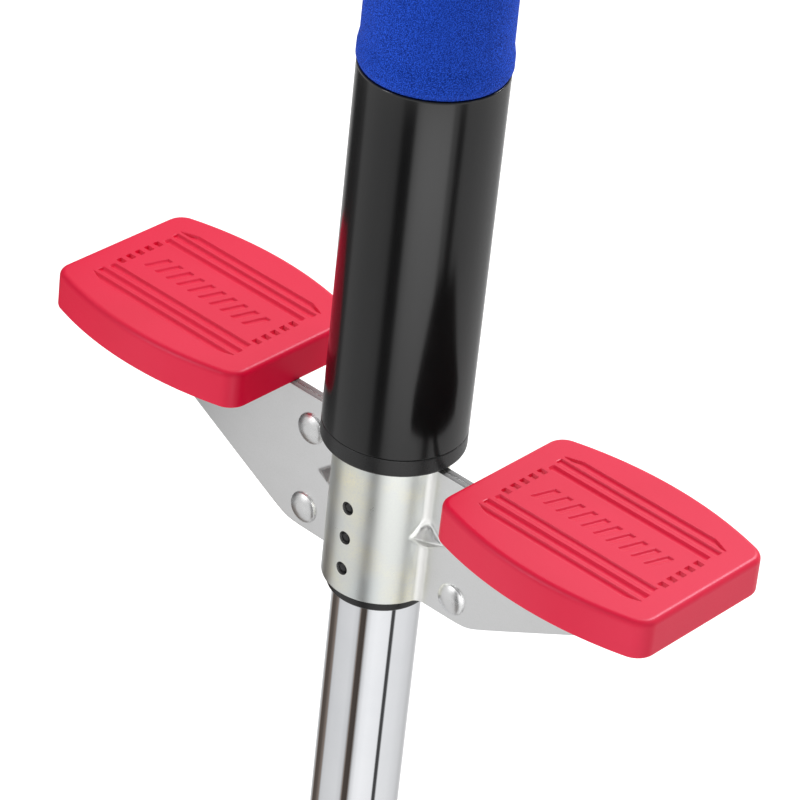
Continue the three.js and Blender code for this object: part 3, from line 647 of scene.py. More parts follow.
def plate_columns():
    """The outer face of the front plate seen from above, from -X to +X: (x, y, nx, ny, zone, arc)."""
    end_x = box("bracket_front")[1][0]
    bend_y = -(WING_FACE + BEND_R)
    bend_x = math.sqrt((COLLAR_R + BEND_R) ** 2 - bend_y**2)
    lean = math.asin(-bend_y / (COLLAR_R + BEND_R))
    span = math.pi / 2 - lean
    half_arc = COLLAR_R * span
    steps = round(half_arc / COLLAR_STEP)
    right = []
    for step in range(steps + 1):
        angle = -math.pi / 2 + span * step / steps
        nx, ny = math.cos(angle), math.sin(angle)
        right.append((COLLAR_R * nx, COLLAR_R * ny, nx, ny, "collar", half_arc * step / steps))
    for step in range(1, BEND_STEPS + 1):
        angle = math.pi - lean - span * step / BEND_STEPS
        cx, cy = math.cos(angle), math.sin(angle)
        right.append((bend_x + BEND_R * cx, bend_y + BEND_R * cy, -cx, -cy, "wing", None))
    near_bend = list(np.arange(bend_x + 0.4, 31, 0.4))
    xs = near_bend + list(np.arange(32, FLANGE_START_X - 1, 1.5)) + [FLANGE_START_X]
    right += [(x, -WING_FACE, 0.0, -1.0, "wing", None) for x in xs]
    for x in np.linspace(FLANGE_START_X + 0.8, end_x, 46):
        right.append((float(x), -WING_FACE, 0.0, -1.0, "flange", None))
    left = []
    for x, y, nx, ny, zone, arc in right[:0:-1]:
        left.append((-x, y, -nx, ny, zone, None if arc is None else -arc))
    return left + right


def plate_rows():
    """Heights of the rows shared by the collar and wings, with even rows round each peg hole."""
    stops = [foot("bracket_front")]
    for z in sorted(PEG_ZS):
        stops += [z - PATCH_ROWS * ROW_STEP, z + PATCH_ROWS * ROW_STEP]
    stops.append(top_of_wings() - SHEET - BEND_R)
    rows = stops[:1]
    for start, end in zip(stops, stops[1:]):
        steps = max(1, round((end - start) / ROW_STEP))
        rows += [start + (end - start) * (step + 1) / steps for step in range(steps)]
    return rows


def top_of_wings():
    return foot("pedal_right")


def wing_foot(x):
    """The lower edge: level near the collar, then rising outwards past a soft knee."""
    past = abs(x) - WING_KNEE_X
    return foot("bracket_front") + WING_SLOPE * (math.sqrt(past**2 + KNEE_SOFTNESS**2) + past) / 2


def dart_lift(points, side):
    """How far the pressed dart pushes each point out along the corner's bisector."""
    mirror = np.array((side, 1, 1))
    out = mirror * DART_OUT
    collar_end, wing_end = mirror * (*DART_COLLAR_END, DART_Z), mirror * (*DART_WING_END, DART_Z)
    lifts = []
    for tip_z in (DART_TOP_Z, DART_FOOT_Z):
        tip = mirror * (*DART_TIP, tip_z)
        normal = np.cross(wing_end - collar_end, tip - collar_end)
        lifts.append(((collar_end - points) @ normal) / (out @ normal))
    lower = -DART_SOFT * np.logaddexp(-lifts[0] / DART_SOFT, -lifts[1] / DART_SOFT)
    lift = DART_SOFT * np.logaddexp(0.0, lower / DART_SOFT)
    near = (np.abs(points[:, 2] - DART_Z) < 9) & (side * points[:, 0] > 14) & (side * points[:, 0] < 32)
    return np.where(near, lift, 0.0)[:, None] * out


def flange_corner(x):
    """How far the flange's outer edge draws in near its two ends, for round corners."""
    to_end = max(0.0, min(abs(x) - FLANGE_START_X, box("bracket_front")[1][0] - abs(x)))
    if to_end >= FLANGE_CORNER_R:
        return 0.0
    return FLANGE_CORNER_R - math.sqrt(FLANGE_CORNER_R**2 - (FLANGE_CORNER_R - to_end) ** 2)


def plate_faces(columns, last_common):
    """Quads of the outer face, with a slit where the collar, wing top and flange part company."""
    count = len(columns)
    last_upper = last_common + BEND_ROWS
    faces = []
    for i in range(count - 1):
        zones = {columns[i][4], columns[i + 1][4]}
        for j in range(last_upper + FLANGE_ROWS):
            slit = last_common <= j < last_upper and zones == {"wing", "flange"}
            if slit or (j >= last_upper and (len(zones) > 1 or zones == {"wing"})):
                continue
            faces.append((j * count + i, j * count + i + 1, (j + 1) * count + i + 1, (j + 1) * count + i))
    return faces


def plate_point(column, row, depth, heights):
    """A point of the plate, depth below its outer face."""
    x, y, nx, ny, zone, _ = column
    out = BEND_R + depth
    low, bend_z, wing_top = wing_foot(x), top_of_wings() - SHEET - BEND_R, top_of_wings()
    past = row - (len(heights) - 1)
    if past > BEND_ROWS and zone == "flange":
        reach = -box("bracket_front")[0][1] - flange_corner(x)
        start = WING_FACE + BEND_R
        return x, -(start + (past - BEND_ROWS) / FLANGE_ROWS * (reach - start)), bend_z + out
    if past > 0 and zone == "flange":
        turn = past / BEND_ROWS * math.pi / 2
        return x, -(WING_FACE + BEND_R) + out * math.cos(turn), bend_z + out * math.sin(turn)
    if past <= 0:
        z = low + (heights[row] - heights[0]) / (bend_z - heights[0]) * (bend_z - low)
    elif past <= BEND_ROWS:
        z = bend_z + past / BEND_ROWS * (wing_top - bend_z)
    else:
        z = wing_top + (past - BEND_ROWS) / FLANGE_ROWS * (top("bracket_front") - wing_top)
    return x - nx * depth, y - ny * depth, z


def open_peg_hole(faces, vertices, columns, heights, peg_z):
    """Swaps a square patch of the collar for rings that run in to a round hole."""
    count = len(columns)
    middle = next(i for i, column in enumerate(columns) if column[5] == 0)
    row = min(range(len(heights)), key=lambda j: abs(heights[j] - peg_z))
    wide, tall = PATCH_COLUMNS, PATCH_ROWS
    gone = {(i, j) for i in range(middle - wide, middle + wide) for j in range(row - tall, row + tall)}
    kept = [face for face in faces if (face[0] % count, face[0] // count) not in gone]
    half = [(k - wide, -tall) for k in range(2 * wide)] + [(wide, k - tall) for k in range(2 * tall)]
    patch = [(middle + i, row + j) for i, j in half + [(-i, -j) for i, j in half]]
    ring = [j * count + i for i, j in patch]
    for share in (0.35, 0.7, 1.0):
        inner = []
        for i, j in patch:
            arc, rise = columns[i][5], heights[j] - peg_z
            angle = math.atan2(rise, arc)
            arc += (PEG_HOLE_R * math.cos(angle) - arc) * share
            rise += (PEG_HOLE_R * math.sin(angle) - rise) * share
            turn = -math.pi / 2 + arc / COLLAR_R
            inner.append(len(vertices))
            vertices.append((math.cos(turn), math.sin(turn), peg_z + rise))
        kept += band(ring, inner)
        ring = inner
    return kept


def make_plate(node, peg_zs, facing):
    """One pressed plate: half a collar, two wings with darts at their bends, and a flange on each wing."""
    columns = plate_columns()
    heights = plate_rows()
    faces = plate_faces(columns, len(heights) - 1)
    rows = len(heights) + BEND_ROWS + FLANGE_ROWS
    grid = rows * len(columns)
    directions = [None] * grid
    for peg_z in peg_zs:
        faces = open_peg_hole(faces, directions, columns, heights, peg_z)
    sides, dents = [], []
    for depth in (0.0, SHEET):
        points = [plate_point(column, row, depth, heights) for row in range(rows) for column in columns]
        points += [(x * (COLLAR_R - depth), y * (COLLAR_R - depth), z) for x, y, z in directions[grid:]]
        points = np.array(points)
        dent = dart_lift(points, -1) + dart_lift(points, 1)
        sides.append(points + dent)
        dents += [min(1.0, float(size)) for size in np.linalg.norm(dent, axis=1)]
    shift = len(sides[0])
    edges = dict.fromkeys(edge for face in faces for edge in zip(face, face[1:] + face[:1]))
    rim = [(b, a, a + shift, b + shift) for a, b in edges if (b, a) not in edges]
    back = [tuple(index + shift for index in reversed(face)) for face in faces]
    vertices = np.vstack(sides) * np.array((facing, facing, 1.0))
    plate = new_piece(node + "_fine", vertices, faces + back + rim, ZINC, 40)
    round_rims(plate, 2 * len(faces), dents)
    settle(plate, node)


def round_rims(plate, first_rim, dents):
    """Marks the cut edges (painted dark, partly painted shade) and the bends and darts (painted pale, a
    painted highlight) of a plate, drops its unused points and rounds its edges.
    """
    mesh = bmesh.new()
    mesh.from_mesh(plate.data)
    cut = mesh.faces.layers.float.new("cut")
    bend = mesh.verts.layers.float.new("bend")
    # Rim faces are marked as cut edges, which the zinc look paints dark: partly a rougher sheared edge,
    # partly painted shade.
    for face in mesh.faces:
        face[cut] = float(face.index >= first_rim)
    for vertex, dent in zip(mesh.verts, dents):
        # Bends and darts get a painted highlight: this value paints them pale in the zinc look.
        vertex[bend] = max(DART_HIGHLIGHT * dent, float(np.interp(abs(vertex.co.x) / MM, *BEND_HIGHLIGHT)))
    bmesh.ops.delete(mesh, geom=[v for v in mesh.verts if not v.link_faces], context="VERTS")
    bmesh.ops.recalc_face_normals(mesh, faces=mesh.faces)
    rim = [e for e in mesh.edges if len(e.link_faces) == 2 and e.calc_face_angle() > math.radians(62)]
    bmesh.ops.bevel(mesh, geom=rim, offset=0.16 * MM, segments=2, profile=0.5, affect="EDGES")
    mesh.to_mesh(plate.data)
    mesh.free()
    smooth(plate, 34)


def make_rivets():
    """Low domed heads with a shoulder ring, closed down on both plates."""
    for side in SIDES:
        for place in ("upper", "lower"):
            node = f"rivet_{side}_{place}"
            low, high = box(node)
            x, _, z = centre(node)
            head, crown, face = (high[0] - low[0]) / 2, high[1], WING_FACE + 0.02
            half = [(0, crown), (head * 0.3, crown - 0.09, 6.0), (head * 0.58, crown - 0.42, 6.0),
                    (head * 0.8, crown - 0.9, 4.0), (head * 0.94, crown - 1.42, 0.5),
                    (head, face + 0.25, 0.2), (head, face, 0.05), (2.6, face)]
            lower = [(r, -h, *fillet) for r, h, *fillet in half]
            turned(node, lower + half[::-1], RIVET_STEEL, steps=64, axis="Y", at=(x, 0, z), sharp=50)


# ---- Pedals ----

PEDAL_SIDE_R = 127.0
PEDAL_CORNER_R = 7.0
PEDAL_HALF_LONG = 42.3
PEDAL_HALF_WIDE = 35.8
PEDAL_DRAFT = 0.1
PEDAL_EDGE_R = 2.0
PEDAL_WALL = 3.0
PEDAL_SKIN = 4.5
PEDAL_SHARP = 32
FIELD_X = 36.0  # half of the rectangle that holds the tread pattern
FIELD_Y = 25.2
TREAD_STEP = 0.3
GROOVE_DEEP = 0.85
GROOVE_HALF = 1.35
STRAIGHT_GROOVES = [(12.5, 31.8), (17.2, 32.6)]  # |y|, and |x| at the end
OUTER_GROOVE_Y, OUTER_GROOVE_X = 21.3, 26.5
OUTER_TIP_X = 33.2
DASH_X, DASH_PITCH, DASH_HALF_X, DASH_HALF_Y, DASH_DEEP = 31.85, 4.2, 1.3, 0.95, 1.0
BAR_COUNT, BAR_PITCH, BAR_SLANT, BAR_HALF_X, BAR_HALF_Y, BAR_DEEP = 10, 5.1, 0.32, 1.0, 4.3, 0.6


def outline_radius(angles, grow):
    """Distance from the pedal's centre to its outline, moved out by grow, along each angle."""
    bow_y = PEDAL_HALF_WIDE - PEDAL_SIDE_R
    corner_x = PEDAL_HALF_LONG - PEDAL_CORNER_R
    rise = math.sqrt((PEDAL_SIDE_R - PEDAL_CORNER_R) ** 2 - corner_x**2)
    lean = math.atan2(rise, corner_x)
    corner = np.linspace(0, lean, 60)
    side = np.linspace(lean, math.pi / 2, 120)
    corner_r, side_r = PEDAL_CORNER_R + grow, PEDAL_SIDE_R + grow
    end = PEDAL_HALF_LONG + grow
    xs = np.concatenate(([end], corner_x + corner_r * np.cos(corner), side_r * np.cos(side)))
    ys = np.concatenate(([0], bow_y + rise + corner_r * np.sin(corner), bow_y + side_r * np.sin(side)))
    quarter = np.abs(np.arctan2(np.abs(np.sin(angles)), np.abs(np.cos(angles))))
    at = np.arctan2(ys, xs)
    flat = end / np.maximum(np.cos(quarter), 1e-9)
    curved = np.interp(quarter, at[1:], np.hypot(xs, ys)[1:])
    return np.where(quarter < at[1], flat, curved)


def inside(distance, soft=0.14):
    """1 where distance is well below 0 and 0 where it is well above, with a short ramp between."""
    return np.clip(0.5 - distance / (2 * soft), 0, 1)


def scoop(y, middle, half):
    """A round-bottomed trough, as a share of its full depth."""
    return np.sqrt(np.clip(1 - ((y - middle) / half) ** 2, 0, 1))


def tread_depth(x, y):
    """How deep the pattern is pressed into the tread: grooves, dashes at the ends, slanted bars between."""
    ax, ay = np.abs(x), np.abs(y)
    depth = np.zeros(x.shape)
    for middle, end in STRAIGHT_GROOVES:
        depth = np.maximum(depth, scoop(ay, middle, GROOVE_HALF) * inside(ax - end))
    taper = np.clip((OUTER_TIP_X - ax) / (OUTER_TIP_X - OUTER_GROOVE_X), 0, 1)
    edge = OUTER_GROOVE_Y - GROOVE_HALF + 2 * GROOVE_HALF * taper
    outer = scoop(ay, OUTER_GROOVE_Y, GROOVE_HALF) * inside(ay - edge) * (taper > 0)
    depth = np.maximum(depth, outer)
    depth *= GROOVE_DEEP
    for dash in range(-2, 3):
        reach = np.maximum(np.abs(ax - DASH_X) - DASH_HALF_X, np.abs(y - dash * DASH_PITCH) - DASH_HALF_Y)
        depth = np.maximum(depth, DASH_DEEP * inside(reach))
    for bar in range(BAR_COUNT):
        middle = (bar - (BAR_COUNT - 1) / 2) * BAR_PITCH
        reach = np.maximum(np.abs(x - middle - BAR_SLANT * y) - BAR_HALF_X, np.abs(y) - BAR_HALF_Y)
        depth = np.maximum(depth, BAR_DEEP * inside(reach, 0.22))
    return depth


def level_points(xs, ys, z):
    """Points at one height, or at their own heights, as lists."""
    return np.stack([xs, ys, np.broadcast_to(z, xs.shape)], 1).tolist()


def pedal_levels(angles, begin, foot_z, top_z):
    """The rings from the tread's grid out and down to the foot: (distance at each angle, height)."""
    def outline(grow):
        return outline_radius(angles, grow)

    border = outline(-PEDAL_EDGE_R)
    levels = [(begin + (border - begin) * share, top_z) for share in (0.15, 0.4, 0.7, 0.93, 1.0)]
    for step in range(1, 7):
        turn = math.pi / 2 * step / 6
        drop = PEDAL_EDGE_R * (1 - math.cos(turn))
        levels.append((outline(PEDAL_EDGE_R * (math.sin(turn) - 1)), top_z - drop))
    side_top, side_foot = top_z - PEDAL_EDGE_R, foot_z + 0.5
    for share in (0.03, 0.3, 0.6, 0.96, 1.0):
        levels.append((outline(PEDAL_DRAFT * share), side_top + (side_foot - side_top) * share))
    return levels + [(outline(PEDAL_DRAFT - 0.1), foot_z + 0.12), (outline(PEDAL_DRAFT - 0.5), foot_z)]


def pedal_shell(foot_z, top_z):
    """The pedal's outside, closed below: the tread grid, its border, the round edge and the side."""
    nx, ny = round(2 * FIELD_X / TREAD_STEP), round(2 * FIELD_Y / TREAD_STEP)
    xs, ys = np.linspace(-FIELD_X, FIELD_X, nx + 1), np.linspace(-FIELD_Y, FIELD_Y, ny + 1)
    grid_x, grid_y = (grid.ravel() for grid in np.meshgrid(xs, ys))
    vertices = level_points(grid_x, grid_y, top_z - tread_depth(grid_x, grid_y))
    wide = nx + 1
    faces = [(j * wide + i, j * wide + i + 1, (j + 1) * wide + i + 1, (j + 1) * wide + i)
             for j in range(ny) for i in range(nx)]
    ring = list(range(nx)) + [j * wide + nx for j in range(ny)]
    ring += [ny * wide + nx - i for i in range(nx)] + [(ny - j) * wide for j in range(ny)]
    start = np.array([vertices[index][:2] for index in ring])
    angles = np.arctan2(start[:, 1], start[:, 0])
    for reach, z in pedal_levels(angles, np.hypot(start[:, 0], start[:, 1]), foot_z, top_z):
        fresh = list(range(len(vertices), len(vertices) + len(ring)))
        vertices += level_points(reach * np.cos(angles), reach * np.sin(angles), z)
        faces += band(fresh, ring)
        ring = fresh
    faces.append(tuple(reversed(ring)))
    return new_piece("pedal", vertices, faces, RED_MOULDING, PEDAL_SHARP)


def outline_solid(name, levels, at_x, material):
    """A closed solid in the pedal's outline. Levels are (how far the outline is moved out, height)."""
    angles = np.linspace(0, TAU, 240, endpoint=False)
    vertices = []
    for grow, z in levels:
        reach = outline_radius(angles, grow)
        vertices += level_points(at_x + reach * np.cos(angles), reach * np.sin(angles), z)
    return new_piece(name, vertices, loft(len(levels), len(angles)), material)


def make_pedals():
    """Hollow mouldings, with ribs and two screw bosses underneath."""
    low, high = foot("pedal_right"), top("pedal_right")
    ceiling = high - PEDAL_SKIN
    shell = pedal_shell(low, high)
    hollow = [(-PEDAL_WALL, low - 1), (-PEDAL_WALL, ceiling - 1.2), (-PEDAL_WALL - 0.35, ceiling - 0.35),
              (-PEDAL_WALL - 1.2, ceiling)]
    carve(shell, outline_solid("hollow", hollow, 0, RED_MOULDING))
    reach = PEDAL_HALF_LONG - PEDAL_WALL / 2
    boss = [(0, low + 0.02), (4.6, low + 0.02), (5, low + 0.4), (5, ceiling + 1), (0, ceiling + 1)]
    screw_y = centre("pedal_screw_right_rear")[1]
    for y in (-screw_y, screw_y):
        join(shell, block((-reach, reach), (y - 1, y + 1), (low + 4, ceiling + 1), RED_MOULDING))
        join(shell, revolve("boss", boss, RED_MOULDING, 40, at=(0, y, 0)))
    for x in (-24, 0, 24):
        join(shell, block((x - 1, x + 1), (-31, 31), (low + 5, ceiling + 0.8), RED_MOULDING))
    smooth(shell, PEDAL_SHARP)
    for side in SIDES:
        node = "pedal_" + side
        piece = in_scene(bpy.data.objects.new(node + "_fine", shell.data.copy()))
        piece.data.transform(Matrix.Translation((centre(node)[0] * MM, 0, 0)))
        settle(piece, node)
    bpy.data.objects.remove(shell)


def make_pedal_screws():
    """Pan-head screws with a cross recess, pointing up through the flange."""
    seat = top_of_wings() - SHEET
    for side in SIDES:
        for place in ("front", "rear"):
            node = f"pedal_screw_{side}_{place}"
            low, high = foot(node), top(node)
            x, y, _ = centre(node)
            head = radius(node)
            corners = [(0, low), (head * 0.6, low, 1.5), (head, low + 1.3, 0.8), (head, seat, 0.15),
                       (2.0, seat, 0.1), (2.0, high - 1.5, 0.3), (0.3, high), (0, high)]
            piece = revolve(node + "_fine", rounded(corners), BOLT_STEEL, SMALL_ROUND, at=(x, y, 0))
            for wide, tall in ((2.0, 0.45), (0.45, 2.0)):
                slot = block((x - wide, x + wide), (y - tall, y + tall), (low - 1, low + 1.3), BOLT_STEEL)
                carve(piece, slot)
            settle(smooth(piece), node)


# ---- Shroud and foam ----

SHROUD_R = radius("shroud_tube")
SHROUD_WALL = 1.5
COLLAR_CLEARANCE = 0.4
FOAM_PHASE = (3.1, 7.7, 1.9)
FOAM_ROWS = 150


def make_shroud():
    low, seam, high = foot("shroud_lower_ring"), foot("shroud_tube"), top("shroud_tube")
    bore = SHROUD_R - SHROUD_WALL
    spigot, hole = bore - FIT, COLLAR_R + COLLAR_CLEARANCE
    ring = [(hole, low, 0.4), (SHROUD_R, low, 1.1), (SHROUD_R, seam - 0.1, 0.3), (spigot, seam - 0.1),
            (spigot, seam + 8, 0.4), (hole, seam + 8, 0.4)]
    turned("shroud_lower_ring", ring, BLACK_MOULDING)
    cover = [(bore, seam), (SHROUD_R, seam + 0.05, 0.3), (SHROUD_R, high, 0.4), (bore, high, 0.2)]
    turned("shroud_tube", cover, GLOSS_COVER)


def foam_wave(angle, r, height):
    """Slow unevenness of a foam sleeve that was rolled down over the tube."""
    if r < SHROUD_R - 3:
        return 0.0
    x, y = math.cos(angle), math.sin(angle)
    slow = 0.12 * math.sin(2 * angle + FOAM_PHASE[0])
    slow += 0.08 * math.sin(3 * angle + height / 31 + FOAM_PHASE[1])
    ripple = 0.07 * math.sin(height / 17 + 1.5 * x + FOAM_PHASE[2]) * math.sin(height / 41 + 2 * y)
    return (slow + ripple) * min(1.0, (height - foot("foam_sleeve")) / 25 + 0.35)


def make_foam():
    """A sleeve of foam that swells into a soft roll where it meets the shroud."""
    low, high = foot("foam_sleeve"), top("foam_sleeve")
    bore, lip, body = BODY_R + FIT, radius("foam_sleeve"), SHROUD_R - 0.25
    corners = [(bore, low), (lip - 1.2, low, 0.9), (lip, low + 2.4, 1.4), (lip - 0.05, low + 6.5, 2.5)]
    corners += [(body + 0.1, low + 10, 4.0)]
    start, end = low + 30, high - 6
    corners += [(body, start + (end - start) * row / FOAM_ROWS) for row in range(FOAM_ROWS + 1)]
    corners += [(body - 0.4, high - 2.0, 2.0), (body - 2.6, high, 1.5), (bore, high)]
    piece = turned("foam_sleeve", corners, BLUE_FOAM, wave=foam_wave, sharp=60)


def make_foam_top_ring():
    low, high, wide = foot("foam_top_ring"), top("foam_top_ring"), radius("foam_top_ring")
    corners = [(BODY_R + FIT, low), (wide, low, 0.6), (wide, low + 6.5, 1.6), (wide - 3.4, high, 1.2),
               (BODY_R + FIT, high, 0.3)]
    turned("foam_top_ring", corners, BLACK_MOULDING)


# ---- Handle ----

BAR_R = radius("handle_bar")
BAR_WALL = 1.5
BAR_ROUND = 96
HEX_ACROSS = 9.5
GRIP_RIBS = 14


def make_handle_bar():
    low, high = box("handle_bar")
    corners = tube(BAR_R - BAR_WALL, BAR_R, low[0], high[0])
    piece = revolve("handle_bar_fine", rounded(corners), CHROME, BAR_ROUND, "X", (0, 0, BAR_Z))
    drill(piece, BOLT_HOLE_R, "Y", (0, 0, BAR_Z), BAR_R + 3)
    settle(smooth(piece), "handle_bar")


def ends_along_bar(node):
    """Where a piece on one half of the bar starts and ends, counted out from the middle."""
    low, high = box(node)
    return sorted((abs(low[0]), abs(high[0])))


def turned_on_bar(node, corners, material, facing):
    """A turned piece on one half of the bar. Corners are those of the right half."""
    corners = [(r, h * facing, *fillet) for r, h, *fillet in corners][::facing]
    turned(node, corners, material, steps=BAR_ROUND, axis="X", at=(0, 0, BAR_Z))


def make_grips():
    """Ribbed rubber sleeves with a collar at the inner end."""
    for side, facing in SIDES.items():
        node = "grip_" + side
        start, end = ends_along_bar(node)
        collar, outer, bore = radius(node), radius("grip_end_cap_" + side), BAR_R + FIT
        corners = [(bore, start, 0.3), (collar, start, 1.2), (collar, start + 4, 1.4)]
        corners += [(outer - 1.2, start + 6.4, 1.5)]
        pitch = (end - start - 13) / GRIP_RIBS
        for rib in range(GRIP_RIBS):
            at = start + 8 + rib * pitch
            corners += [(outer - 1.2, at, 0.3), (outer - 0.1, at + 0.7, 0.5)]
            corners += [(outer - 0.1, at + pitch - 1.6, 0.5), (outer - 1.2, at + pitch - 0.9, 0.3)]
        corners += [(outer - 0.4, end - 3, 0.8), (outer - 0.4, end, 0.4), (bore, end, 0.2)]
        turned_on_bar(node, corners, BLACK_RUBBER, facing)


def make_grip_end_caps():
    seat = box("handle_bar")[1][0]
    for side, facing in SIDES.items():
        node = "grip_end_cap_" + side
        inner, outer_end = ends_along_bar(node)
        wide, plug = radius(node), BAR_R - BAR_WALL - FIT
        corners = [(0, inner), (plug, inner, 0.8), (plug, seat), (wide, seat, 0.3), (wide, seat + 2.2, 1.6),
                   (wide - 3.5, outer_end, 2.5), (0, outer_end)]
        turned_on_bar(node, corners, BLACK_MOULDING, facing)


def make_top_cap():
    low, high, wide = foot("top_cap"), top("top_cap"), radius("top_cap")
    plug, seat = BODY_R - 1.2, top("body_tube")
    corners = [(0, low), (plug, low, 0.6), (plug, seat), (wide, seat, 0.5), (wide, seat + 5, 4.0),
               (wide - 4.5, high - 2.2, 7.0), (wide * 0.35, high, 12.0), (0, high)]
    turned("top_cap", corners, BLACK_MOULDING)


def hexagon(name, start, end):
    """A six-sided head along Y, from its seat to its chamfered end."""
    reach = HEX_ACROSS / 2 / math.cos(math.pi / 6)
    way = 1 if end > start else -1
    levels = [(0.0, start), (reach - 0.1, start), (reach, start + 0.25 * way), (reach, end - 0.6 * way),
              (reach - 0.9, end), (0.0, end)][::way]
    return revolve(name, levels, BOLT_STEEL, 6, "Y", (0, 0, BAR_Z), sharp=20)


def make_handle_bolt():
    """A bolt from the front through the body tube and the bar, with a nut at the back."""
    low, high = box("handle_bolt")
    seat = BODY_R + 0.3
    corners = [(0, -seat - 1), (BOLT_R, -seat - 1), (BOLT_R, high[1], 0.5), (0, high[1])]
    bolt = revolve("handle_bolt_fine", rounded(corners), BOLT_STEEL, SMALL_ROUND, "Y", (0, 0, BAR_Z))
    join(bolt, hexagon("head", -seat, low[1]))
    settle(smooth(bolt, 30), "handle_bolt")
    nut_end = box("handle_nut")[1][1]
    nut = hexagon("handle_nut_fine", seat, nut_end)
    drill(nut, BOLT_R + 0.05, "Y", (0, nut_end, BAR_Z), 12)
    settle(smooth(nut, 30), "handle_nut")


# ---- Stage ----

FLOOR_HALF = 25.0  # metres
TENT_R = 175.0  # mm, clear of the pedals
# Light that the tent sends out at each bearing from the camera, in degrees to the right.
TENT_BANDS = [
    (-180, 0.80), (-158, 0.66), (-146, 0.45), (-134, 0.07), (-118, 0.08), (-110, 0.14), (-104, 0.20),
    (-98, 0.60), (-84, 0.66), (-50, 0.70), (-38, 0.62), (-31, 0.06), (-19, 0.05), (-13, 0.66), (-4, 0.88),
    (10, 0.93), (34, 0.88), (42, 0.84), (45, 0.06), (52, 0.06), (55, 0.80), (84, 0.77), (116, 0.66),
    (134, 0.55), (150, 0.60), (158, 0.80), (180, 0.80),
]
TENT_GLOW = (-16, 36)  # bearings of the panel that is brighter higher up
TENT_ROWS = [  # radius, height, how much brighter the glowing panel is, how plain the row is
    (24.0, 0.6, 1.0, 0.0), (TENT_R, 0.6, 1.0, 0.0), (TENT_R, 92.0, 1.0, 0.0), (TENT_R, 98.0, 1.0, 0.17),
    (TENT_R, 136.0, 1.0, 0.17), (TENT_R, 160.0, 1.35, 0.0), (TENT_R, 262.0, 2.3, 0.0),
    (TENT_R, 292.0, 2.3, 0.0), (TENT_R, 300.0, 1.0, 1.0), (TENT_R, 360.0, 1.0, 1.0),
]
TENT_PLAIN = 1.05
TENT_WARM = (1.22, 1.0, 0.86)  # colour of what shows through the gaps on the left
TENT_WARM_TOP = 95.0
TENT_PANELS = 240


def make_floor():
    size = FLOOR_HALF / MM
    corners = [(-size, -size, 0), (size, -size, 0), (size, size, 0), (-size, size, 0)]
    look = Look("pale_floor", Roughness=0.7, IOR=1.3, Emission_Color=(1, 1, 1), Emission_Strength=0.34)
    look.colour(look.noise(3, 3, 0.5), 0.3, 0.7, (0.93, 0.93, 0.93), (0.90, 0.90, 0.90))
    new_piece("floor", corners, [(0, 1, 2, 3)], look.material)


def tent_tone(bearing, glow, plain):
    bearings, lights = zip(*TENT_BANDS)
    tone = float(np.interp(bearing, bearings, lights))
    if TENT_GLOW[0] < bearing < TENT_GLOW[1]:
        tone *= glow
    return tone + (TENT_PLAIN - tone) * plain


def only_in_reflections(piece):
    for ray in ("camera", "diffuse", "shadow", "transmission"):
        setattr(piece, "visible_" + ray, False)


def make_tent():
    """A light tent round the foot of the stick, seen only in reflections, with dark gaps in it."""
    vertices, colours = [], []
    for reach, z, glow, plain in TENT_ROWS:
        for k in range(TENT_PANELS):
            bearing = -180 + 360 * k / TENT_PANELS
            x, y, _ = direction(bearing, 0) * reach
            vertices.append((x, y, z))
            tone = tent_tone(bearing, glow, plain)
            warm = bearing < 0 and tone < 0.25 and z < TENT_WARM_TOP
            colours.append((*scaled(TENT_WARM if warm else (1.0, 1.0, 1.0), tone), 1.0))
    look = Look("tent_cloth", Base_Color=(0, 0, 0), Roughness=1.0, Specular_IOR_Level=0.0)
    light = look.nodes.new("ShaderNodeVertexColor")
    light.layer_name = "light"
    look.set("Emission Color", light.outputs[0])
    look.set("Emission Strength", 1.0)
    faces = loft(len(TENT_ROWS), TENT_PANELS, ends=False)
    tent = new_piece("light_tent", vertices, [face[::-1] for face in faces], look.material)
    layer = tent.data.color_attributes.new("light", "FLOAT_COLOR", "POINT")
    for point, colour in zip(layer.data, colours):
        point.color = colour
    only_in_reflections(tent)


def make_pedal_reflection_stand_in():
    """A painted reflection: stands for the right pedal in reflections, so that the shroud shows it black
    and not red.
    """
    look = Look("painted_reflection_black", Base_Color=(0.004, 0.004, 0.004, 1), Roughness=0.9, Specular_IOR_Level=0.1)
    low, high = foot("pedal_right") + 0.6, top("pedal_right") - 1.3
    levels = [(-0.4, low), (-0.4, high - 1.5), (-1.6, high)]
    only_in_reflections(outline_solid("pedal_painted_reflection", levels, centre("pedal_right")[0], look.material))
    bpy.data.objects["pedal_right_fine"].visible_glossy = False


def direction(bearing, elevation):
    """A unit vector towards a bearing, in degrees to the right of the camera's, and an elevation."""
    angle, up = math.radians(CAMERA_AZIMUTH + bearing), math.radians(elevation)
    return Vector((math.cos(angle) * math.cos(up), math.sin(angle) * math.cos(up), math.sin(up)))


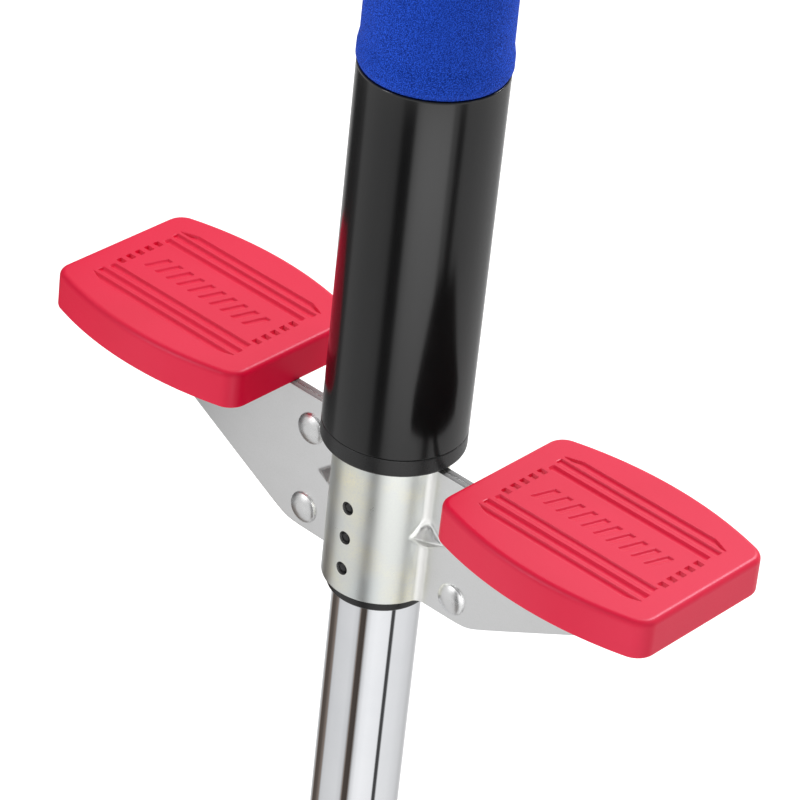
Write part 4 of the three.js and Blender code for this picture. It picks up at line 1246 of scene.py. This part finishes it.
LIGHTS = [  # name, bearing, elevation, distance, width, height, watts
    ("back_key", 140, 48, 1.5, 0.45, 0.45, 15.0),
    ("back_panel", 180, 36, 1.6, 1.2, 1.0, 3.0),
    ("left_strip", -66, 24, 1.4, 0.22, 0.9, 4.0),
    ("right_strip", 66, 26, 1.5, 0.22, 0.9, 0.8),
]


def make_lights():
    """Soft lights, all aimed at the foot of the pedals."""
    for name, bearing, elevation, distance, width, height, watts in LIGHTS:
        data = bpy.data.lights.new(name, "AREA")
        data.shape = "RECTANGLE"
        data.size, data.size_y = width, height
        data.energy = watts
        light = in_scene(bpy.data.objects.new(name, data))
        away = direction(bearing, elevation)
        light.location = away * distance + Vector((0, 0, top_of_wings() * MM))
        light.rotation_euler = (-away).to_track_quat("-Z", "Y").to_euler()
        light.visible_camera = False


def make_world():
    world = bpy.data.worlds.new("studio")
    bpy.context.scene.world = world
    world.use_nodes = True
    background = world.node_tree.nodes["Background"]
    background.inputs["Color"].default_value = (1.0, 1.0, 1.0, 1.0)
    background.inputs["Strength"].default_value = 0.46


def make_camera():
    data = bpy.data.cameras.new("camera")
    data.sensor_width = 36.0
    data.lens = CAMERA_LENS
    data.clip_start, data.clip_end = 0.05, 50.0
    camera = in_scene(bpy.data.objects.new("camera", data))
    away = direction(0, CAMERA_ELEVATION)
    camera.location = Vector(CAMERA_TARGET) * MM + away * CAMERA_DISTANCE * MM
    turn = (-away).to_track_quat("-Z", "Y").to_matrix() @ Matrix.Rotation(math.radians(CAMERA_ROLL), 3, "Z")
    camera.rotation_euler = turn.to_euler()
    bpy.context.scene.camera = camera


def set_colours():
    view = bpy.context.scene.view_settings
    view.view_transform = "Standard"
    view.look = "None"


def main():
    make_camera()
    make_world()
    make_floor()
    make_tent()
    make_lights()
    set_colours()
    dress_cad_nodes()
    make_shaft()
    make_rubber_tip()
    make_spring()
    make_body_tube()
    make_bush()
    make_pegs()
    make_plate("bracket_front", PEG_ZS, 1)
    make_plate("bracket_rear", [], -1)
    make_rivets()
    make_pedals()
    make_pedal_reflection_stand_in()
    make_pedal_screws()
    make_shroud()
    make_foam()
    make_foam_top_ring()
    make_handle_bar()
    make_grips()
    make_grip_end_caps()
    make_top_cap()
    make_handle_bolt()


main()
